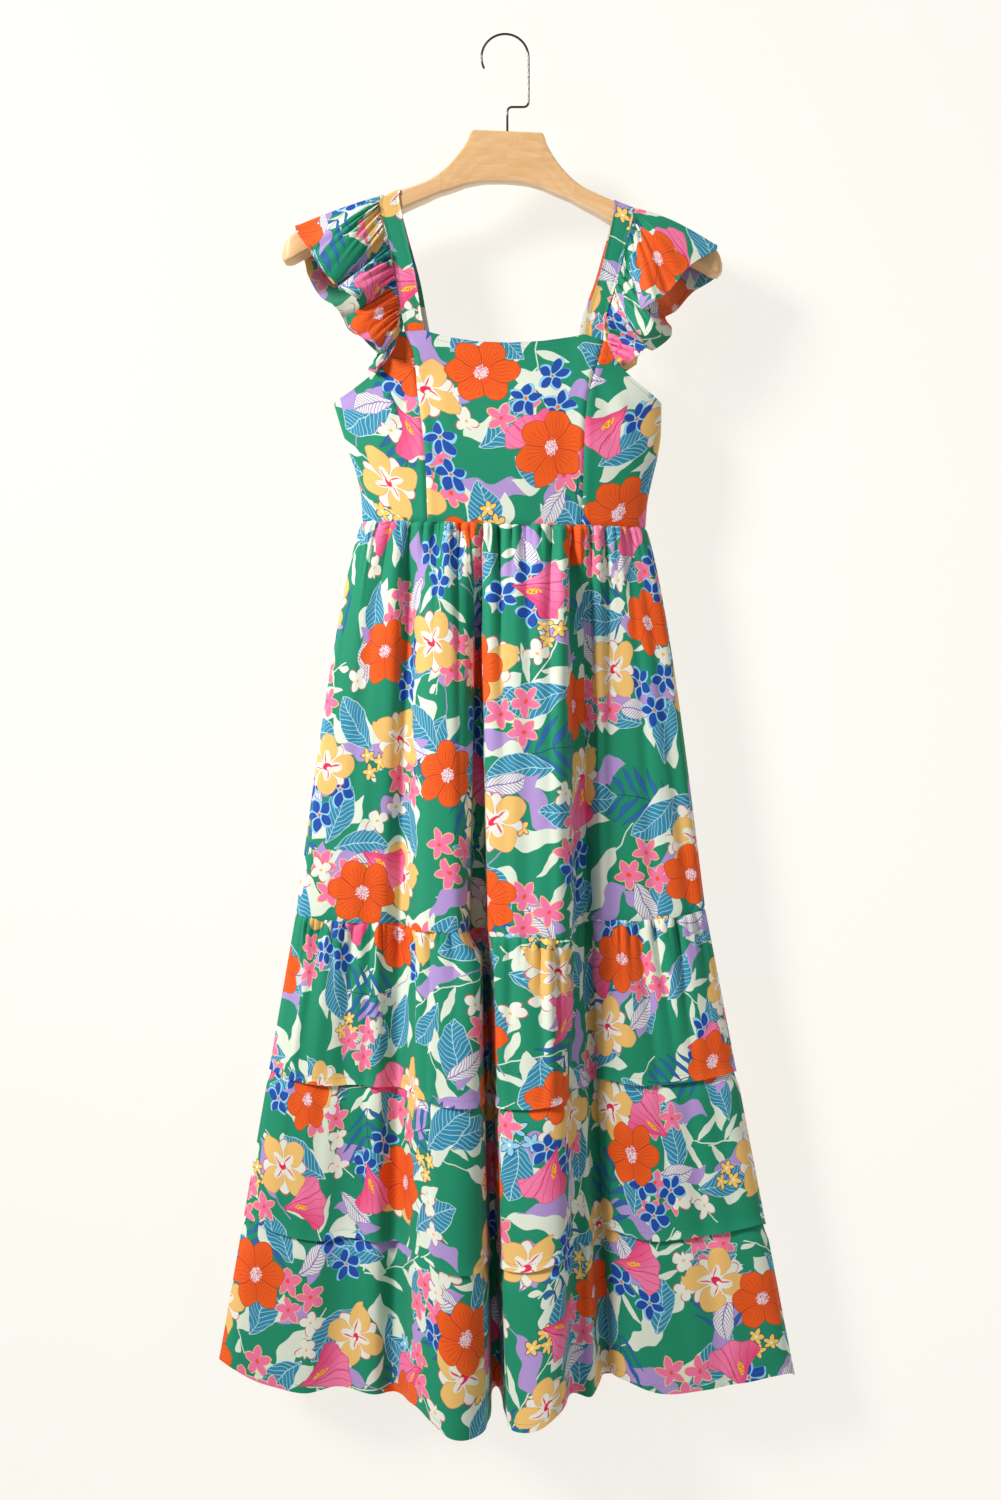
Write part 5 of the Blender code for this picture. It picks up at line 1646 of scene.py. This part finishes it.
def bodice(materials):
    rows = 104
    v = np.linspace(0, 2, rows)
    gap = 0.0

    # front, centre panel
    columns = 112
    u, row = np.meshgrid(np.linspace(0, 1, columns), v)
    left = soft_table(PRINCESS, 1, 0, row) + gap
    right = soft_table(PRINCESS, 2, 0, row) - gap
    x = mix(left, right, u)
    top_x = mix(PRINCESS[0][1], PRINCESS[0][2], u)
    base = bodice_points(x, row, False, neck_z(top_x, False))
    lift = bodice_detail(base, row, left, right, x, 5, True)
    # the neck edge is turned in, and the cloth pulls lightly from the straps
    from_neck = lengths(base, 0)
    from_waist = lengths(base, 0)[-1:] - from_neck
    lift += 0.35 * bump(from_neck / 1.2) - 0.25 * bump((from_neck - 7.0) / 0.9) * (np.abs(top_x) < 82)
    lift -= 1.4 * bump(from_waist / 2.4)
    strap_l, strap_r = bump((x + 84) / 13), bump((x - 84) / 13)
    lift += 1.6 * (strap_l + strap_r) * bump((row - 0.35) / 0.5)
    lift += 1.0 * bump((x + 62 + 0.12 * (base[..., 2] + 380)) / 10) * bump((row - 0.9) / 0.5)
    lift -= 0.9 * bump((x - 60) / 9) * bump((row - 1.2) / 0.5)
    lift += 0.8 * bump((x - 12 + 0.1 * (base[..., 2] + 420)) / 14) * bump((row - 1.5) / 0.45)
    n = surface_normals(base, (0, -1, 0))
    points = base + n * lift[..., None]
    full = surface_normals(points, (0, -1, 0))
    run = lengths(base, 1) - lengths(base, 1)[:, columns // 2][:, None]
    cut = cut_map("bodice_front_centre", run / CUT["bodice_front_centre"][0] + 0.5, from_neck / CUT["bodice_front_centre"][1])
    made = shell("cloth_bodice_front_centre", points, full, materials, cut)
    outer, keep = points + full * (CLOTH / 2), np.abs(points[0, :, 0]) < 80
    SEWN.append(level_line(outer[:, keep], full[:, keep], from_neck[:, keep], 6.5))
    finish_cloth(made, "bodice_front_centre", "stretched", ["cloth_strap_left", "cloth_strap_right"])

    # front, side panels
    for right_side in (False, True):
        name = "bodice_front_side_" + ("right" if right_side else "left")
        index = 2 if right_side else 1
        sign = 1 if right_side else -1
        columns = 60
        u, row = np.meshgrid(np.linspace(0, 1, columns), v)
        u = u ** 1.35
        outer = side_x(row, right_side)
        inner = soft_table(PRINCESS, index, 0, row)
        x = mix(outer, inner, u)
        top_x = mix(ARMHOLE[0][index], PRINCESS[0][index], u)
        base = bodice_points(x, row, False, neck_z(top_x, False))
        base[..., 1] = np.minimum(base[..., 1], -0.25)
        lift = bodice_detail(base, row, inner if not right_side else inner, None, x, 9 + index, False)
        from_neck = lengths(base, 0)
        from_waist = from_neck[-1:] - from_neck
        hole = np.abs(x - outer)
        arm = row < 1.0
        lift += (0.35 * bump(hole / 1.1) - 0.25 * bump((hole - 5.5) / 0.9)) * smooth((1.04 - row) / 0.08)
        lift -= 1.4 * bump(from_waist / 2.4)
        slope = np.abs(x) - (118 + 26 * (row - 1.0))
        lift += 1.3 * bump(slope / 8.0) * bump((row - 1.15) / 0.28)
        lift -= 1.0 * bump((slope + 17) / 7.0) * bump((row - 0.95) / 0.35)
        lift *= smooth((hole + 1.5) / 6.0) * 0.9 + 0.1
        n = surface_normals(base, (0, -1, 0))
        points = base + n * lift[..., None]
        full = surface_normals(points, (0, -1, 0))
        side = row[:, 0] >= 1
        full[side, 0] = (sign, 0, 0)
        run = lengths(base, 1)
        run = (run[:, -1:] - run) * (1 if right_side else -1)
        share = run / CUT[name][0] + (0.0 if right_side else 1.0)
        cut = cut_map(name, share, from_neck / CUT[name][1])
        made = shell("cloth_" + name, points, full, materials, cut)
        finish_cloth(made, name, "stretched", ["cloth_bodice_front_centre"])
        outer = points + full * (CLOTH / 2)
        above = row[:, 0] < 1.0
        SEWN.append(level_line(outer[above], full[above], hole[above], 5.5, turned=True))

    # back, one panel
    columns = 92
    u, row = np.meshgrid(np.linspace(0, 1, columns), v)
    u = u - 0.06 * np.sin(2 * math.pi * u)
    x = mix(side_x(row, False), side_x(row, True), u)
    top_x = mix(ARMHOLE[0][1], ARMHOLE[0][2], u)
    base = bodice_points(x, row, True, neck_z(top_x, True))
    base[..., 1] = np.maximum(base[..., 1], 0.25)
    from_neck = lengths(base, 0)
    from_waist = from_neck[-1:] - from_neck
    hole = np.minimum(np.abs(x - side_x(row, False)), np.abs(x - side_x(row, True)))
    lift = 0.35 * bump(from_neck / 1.2) - 0.25 * bump((from_neck - 7.0) / 0.9) * (np.abs(top_x) < 76)
    lift -= 1.4 * bump(from_waist / 2.4)
    lift += (0.3 * bump(hole / 1.1)) * smooth((1.04 - row) / 0.08)
    for cx, cr, wx, wr, high, lean in ((-58, 1.15, 11, 0.5, 1.3, 0.10), (55, 1.2, 12, 0.5, 1.1, -0.12),
                                       (-18, 1.45, 13, 0.45, 0.9, 0.05), (22, 0.9, 12, 0.4, -0.8, 0.0),
                                       (-92, 1.0, 9, 0.4, -0.9, 0.2), (94, 0.95, 9, 0.4, -1.0, -0.2)):
        lift += high * bump((x - cx + lean * (base[..., 2] + 400)) / wx) * bump((row - cr) / wr)
    lift *= smooth((hole + 1.5) / 6.0) * 0.9 + 0.1
    n = surface_normals(base, (0, 1, 0))
    points = base + n * lift[..., None]
    full = surface_normals(points, (0, 1, 0))
    side = row[:, 0] >= 1
    full[side, 0], full[side, -1] = (-1, 0, 0), (1, 0, 0)
    run = lengths(base, 1) - lengths(base, 1)[:, columns // 2][:, None]
    cut = cut_map("bodice_back", run / CUT["bodice_back"][0] + 0.5, from_neck / CUT["bodice_back"][1])
    made = shell("cloth_bodice_back", points, full, materials, cut)
    outer, keep = points + full * (CLOTH / 2), np.abs(points[0, :, 0]) < 74
    SEWN.append(level_line(outer[:, keep], full[:, keep], from_neck[:, keep], 6.5))
    finish_cloth(made, "bodice_back", "stretched", ["cloth_strap_left", "cloth_strap_right"])


def strap_lines(right_side):
    """Rows along the strap, three points across, from front joint to back."""
    rows = STRAP_RIGHT if right_side else STRAP_LEFT
    outer_arm, inner_arm = STRAP_RIGHT_ON_ARM if right_side else STRAP_LEFT_ON_ARM
    joint_front = (100.0, 81.2) if right_side else (-102.2, -82.2)
    joint_back = (94.5, 75.8) if right_side else (-96.5, -76.8)
    across = (0.0, 0.5, 1.0)
    wraps = [arm_wrap(mix(outer_arm, inner_arm, w), 12.0) for w in across]

    def lower(back):
        ends = joint_back if back else joint_front
        lines = [[(x := mix(ends[0], ends[1], w),
                   float(bodice_depth(np.array(x), np.array(0.0), back)),
                   float(neck_z(x, back))) for w in across]]
        joint_y, joint_z = lines[0][1][1], lines[0][1][2]
        arm_y, arm_z = wraps[1][-1 if back else 0][1], wraps[1][0][2]
        for z, fo, fi, bo, bi in rows:
            o, i = (bo, bi) if back else (fo, fi)
            f = (z - joint_z) / (arm_z - joint_z)
            lines.append([(mix(o, i, w), mix(joint_y, arm_y, f), z) for w in across])
        return lines

    front, behind = lower(False), lower(True)
    over = [[tuple(wrap[i]) for wrap in wraps] for i in range(len(wraps[0]))]
    return np.array(front + over + behind[::-1], float)


def resample(lines, count):
    """A grid's rows read smoothly at count even distances along its middle."""
    fine = np.linspace(0, len(lines) - 1, (len(lines) - 1) * 20 + 1)
    dense = np.stack([np.stack([along_rows(lines[:, j, k], fine) for k in range(3)], axis=-1)
                      for j in range(lines.shape[1])], axis=1)
    middle = dense[:, dense.shape[1] // 2]
    places = even_places(middle, count)
    low = np.floor(places).astype(int).clip(0, len(dense) - 2)
    f = (places - low)[:, None, None]
    return dense[low] * (1 - f) + dense[low + 1] * f


def straps(materials):
    for right_side in (False, True):
        name = "strap_" + ("right" if right_side else "left")
        lines = strap_lines(right_side)
        grid = resample(lines, 150)
        w = np.linspace(0, 1, 15)
        points = grid[:, :1] * (1 - w)[None, :, None] + grid[:, 2:] * w[None, :, None]
        middle = grid[:, 1:2] - (grid[:, :1] + grid[:, 2:]) / 2
        points = points + middle * (1 - (2 * w - 1) ** 2)[None, :, None]
        # both ends tuck behind the bodice's top edge
        n = surface_normals(points)
        centre = points.mean((0, 1))
        out = points - np.array([centre[0], 0.0, -260.0])
        if (n * out).sum() < 0:
            n = -n
        run = lengths(points, 0)
        total = run[-1:]
        across = np.broadcast_to(w, points.shape[:2])
        lift = 0.45 * bump(across / 0.10) + 0.45 * bump((1 - across) / 0.10)
        lift -= 0.30 * bump((across - 0.17) / 0.05) + 0.30 * bump((across - 0.83) / 0.05)
        rng = np.random.default_rng(31 + right_side)
        for _ in range(7):
            place = rng.uniform(8, float(total.max()) - 8)
            lift += rng.uniform(-0.5, 0.6) * bump((run - place) / rng.uniform(4, 9))
        lift -= 0.9 * bump(run / 3.0) + 0.9 * bump((total - run) / 3.0)
        points = points + n * lift[..., None]
        points[:2, :, 2] -= 1.5
        points[-2:, :, 2] -= 1.5
        full = surface_normals(points)
        if (full * out).sum() < 0:
            full = -full
        made = shell("cloth_" + name, points, full, materials, cut_map(name, across, run / total))
        finish_cloth(made, name, "hung", ["hanger_wood"])
        outer = points + full * (CLOTH / 2)
        for share in (0.17, 0.83):
            SEWN.append(level_line(outer, full, across, share, turned=True))


def shoulder_seam(right_side):
    sign = 1 if right_side else -1
    off = sign * (GAP + 1.0)
    rows = STRAP_RIGHT if right_side else STRAP_LEFT
    index = 2 if right_side else 1
    outer_arm = (STRAP_RIGHT_ON_ARM if right_side else STRAP_LEFT_ON_ARM)[0]
    wrap = arm_wrap(outer_arm + sign * (GAP + 0.5), 12.0)
    seam = []
    for back in (False, True):
        side = 1 if back else -1
        top_x = ARMHOLE[0][index]
        part = []
        for at, row in ((0.0, 0.38), (0.09, 0.2), (0.16, 0.0)):
            x = float(straight(ARMHOLE, index, 0, row))
            point = bodice_points(np.array(x), np.array(row), back, float(neck_z(top_x, back)))
            part.append((at, (x + off, float(point[1]), float(point[2]))))
        for k, (z, fo, fi, bo, bi) in enumerate(rows):
            at = (0.32, 0.52, 0.68)[k]
            x = bo if back else fo
            f = (z - part[2][1][2]) / (wrap[0][2] - part[2][1][2])
            part.append((at, (x + off, mix(part[2][1][1], side * abs(wrap[0][1]), f), z)))
        for k, at in enumerate((0.80, 0.90, 0.93, 0.96, 1.0)):
            part.append((at, tuple(wrap[len(wrap) - 1 - k] if back else wrap[k])))
        seam.append(part)
    front, back = seam
    return front + [(2 - at, point) for at, point in reversed(back[:-1])]


def ruffle_rows(right_side):
    source = RUFFLE_RIGHT if right_side else RUFFLE_LEFT
    wrap = arm_wrap(RUFFLE_HEM_ON_ARM[1 if right_side else 0], 5.0)
    rows, held = [], []
    for name, seam, x, y, z in source:
        if name == "arm_front":
            held = list(range(len(rows), len(rows) + 7))
            rows += [(seam + step, *wrap[1 + k]) for k, step in enumerate((0.0, 0.03, 0.06, 0.10))]
        elif name == "arm_back":
            rows += [(seam - step, *wrap[7 - k]) for k, step in ((2, 0.06), (1, 0.03), (0, 0.0))]
        else:
            rows.append((seam, x, y, z))
    return np.array(rows, float), held


def ruffle(right_side, materials):
    name = "ruffle_" + ("right" if right_side else "left")
    rows, held = ruffle_rows(right_side)
    seam = shoulder_seam(right_side)
    keys = np.array([row[0] for row in seam])
    seam_points = np.array([row[1] for row in seam], float)
    fine = np.linspace(0, len(rows) - 1, (len(rows) - 1) * 30 + 1)
    hem_line = np.stack([along_rows(rows[:, k], fine, held) for k in (1, 2, 3)], axis=-1)
    columns, across = 520, 44
    places = np.interp(even_places(hem_line, columns), np.arange(len(fine)), fine)
    place = along_rows(rows[:, 0], places, held)
    hem = np.stack([along_rows(rows[:, k], places, held) for k in (1, 2, 3)], axis=-1)
    start = np.stack([np.interp(place, keys, seam_points[:, k]) for k in range(3)], axis=-1)
    r = np.linspace(0, 1, across)
    points = start[:, None] * (1 - r)[None, :, None] + hem[:, None] * r[None, :, None]
    width = np.linalg.norm(hem - start, axis=1)
    on_arm = smooth((0.15 - np.abs(place - 1.0)) / 0.05)
    side = np.where(place < 1, -1.0, 1.0)
    points[..., 1] += (side * RUFFLE_BULGE * width * (1 - on_arm))[:, None] * np.sin(math.pi * r)[None]
    # over the arm the cloth stands a little off the wood between its two ends
    points[..., 2] += (RUFFLE_ARCH[1 if right_side else 0] * smooth((0.24 - np.abs(place - 1.0)) / 0.16))[:, None] * np.sin(math.pi * r ** 0.85)[None]
    n = surface_normals(points)
    centre = np.array([np.mean(start[:, 0]) , 0.0, -290.0])
    if (n * (points - centre)).sum() < 0:
        n = -n
    run = lengths(points, 0)[:, -1:]
    seam_run = lengths(points, 0)[:, :1]
    out = r[None] * width[:, None]
    # tight gathers that fan out from the seam
    rng = np.random.default_rng(400 + right_side)
    total = float(run.max())
    lift = gathers("ruffle", np.broadcast_to(run, out.shape), out, 1.0, 410 + right_side)
    # uneven flutes of the free edge
    at = 6.0
    while at < total - 6:
        at += rng.uniform(11.0, 23.0)
        wide = rng.uniform(4.5, 7.5)
        high = rng.uniform(1.0, 2.4) * rng.choice((-1.0, 1.0))
        lean = rng.uniform(-0.16, 0.16)
        d = (run - at - lean * (width[:, None] - out)) / wide
        lift += high * bump(d) * smooth((r[None] - 0.35) / 0.65)
    lift *= (1 - 0.85 * on_arm)[:, None]
    ends = smooth(np.minimum(np.arange(columns), np.arange(columns)[::-1]) / 10.0)[:, None]
    lift *= ends
    edge = width[:, None] - out
    thick = np.full(points.shape[:2], CLOTH) + (0.75 * smooth((RUFFLE_FOLD - edge) / 0.8) - 0.25 * bump((edge - RUFFLE_FOLD - 0.5) / 0.7)) * ends
    points = points + n * lift[..., None]
    full = surface_normals(points)
    if (full * (points - centre)).sum() < 0:
        full = -full
    cut = cut_map(name, np.broadcast_to(run / total, points.shape[:2]), out / CUT[name][1])
    made = shell("cloth_" + name, points, full, materials, cut, thick)
    finish_cloth(made, name, "gathered", ["hanger_wood", "cloth_strap_" + ("right" if right_side else "left")])
    outer = points + full * (thick / 2)[..., None]
    SEWN.append(level_line(outer[6:-6], full[6:-6], edge[6:-6], RUFFLE_FOLD - 0.9, turned=True))


def dress():
    design = print_design()
    materials = [cloth_material("printed_viscose", design, False),
                 cloth_material("printed_viscose_reverse", design, True)]
    bodice(materials)
    straps(materials)
    ruffle(False, materials)
    ruffle(True, materials)
    skirt(materials)
    stitches("stitching")


studio()
hanger()
hook()
dress()
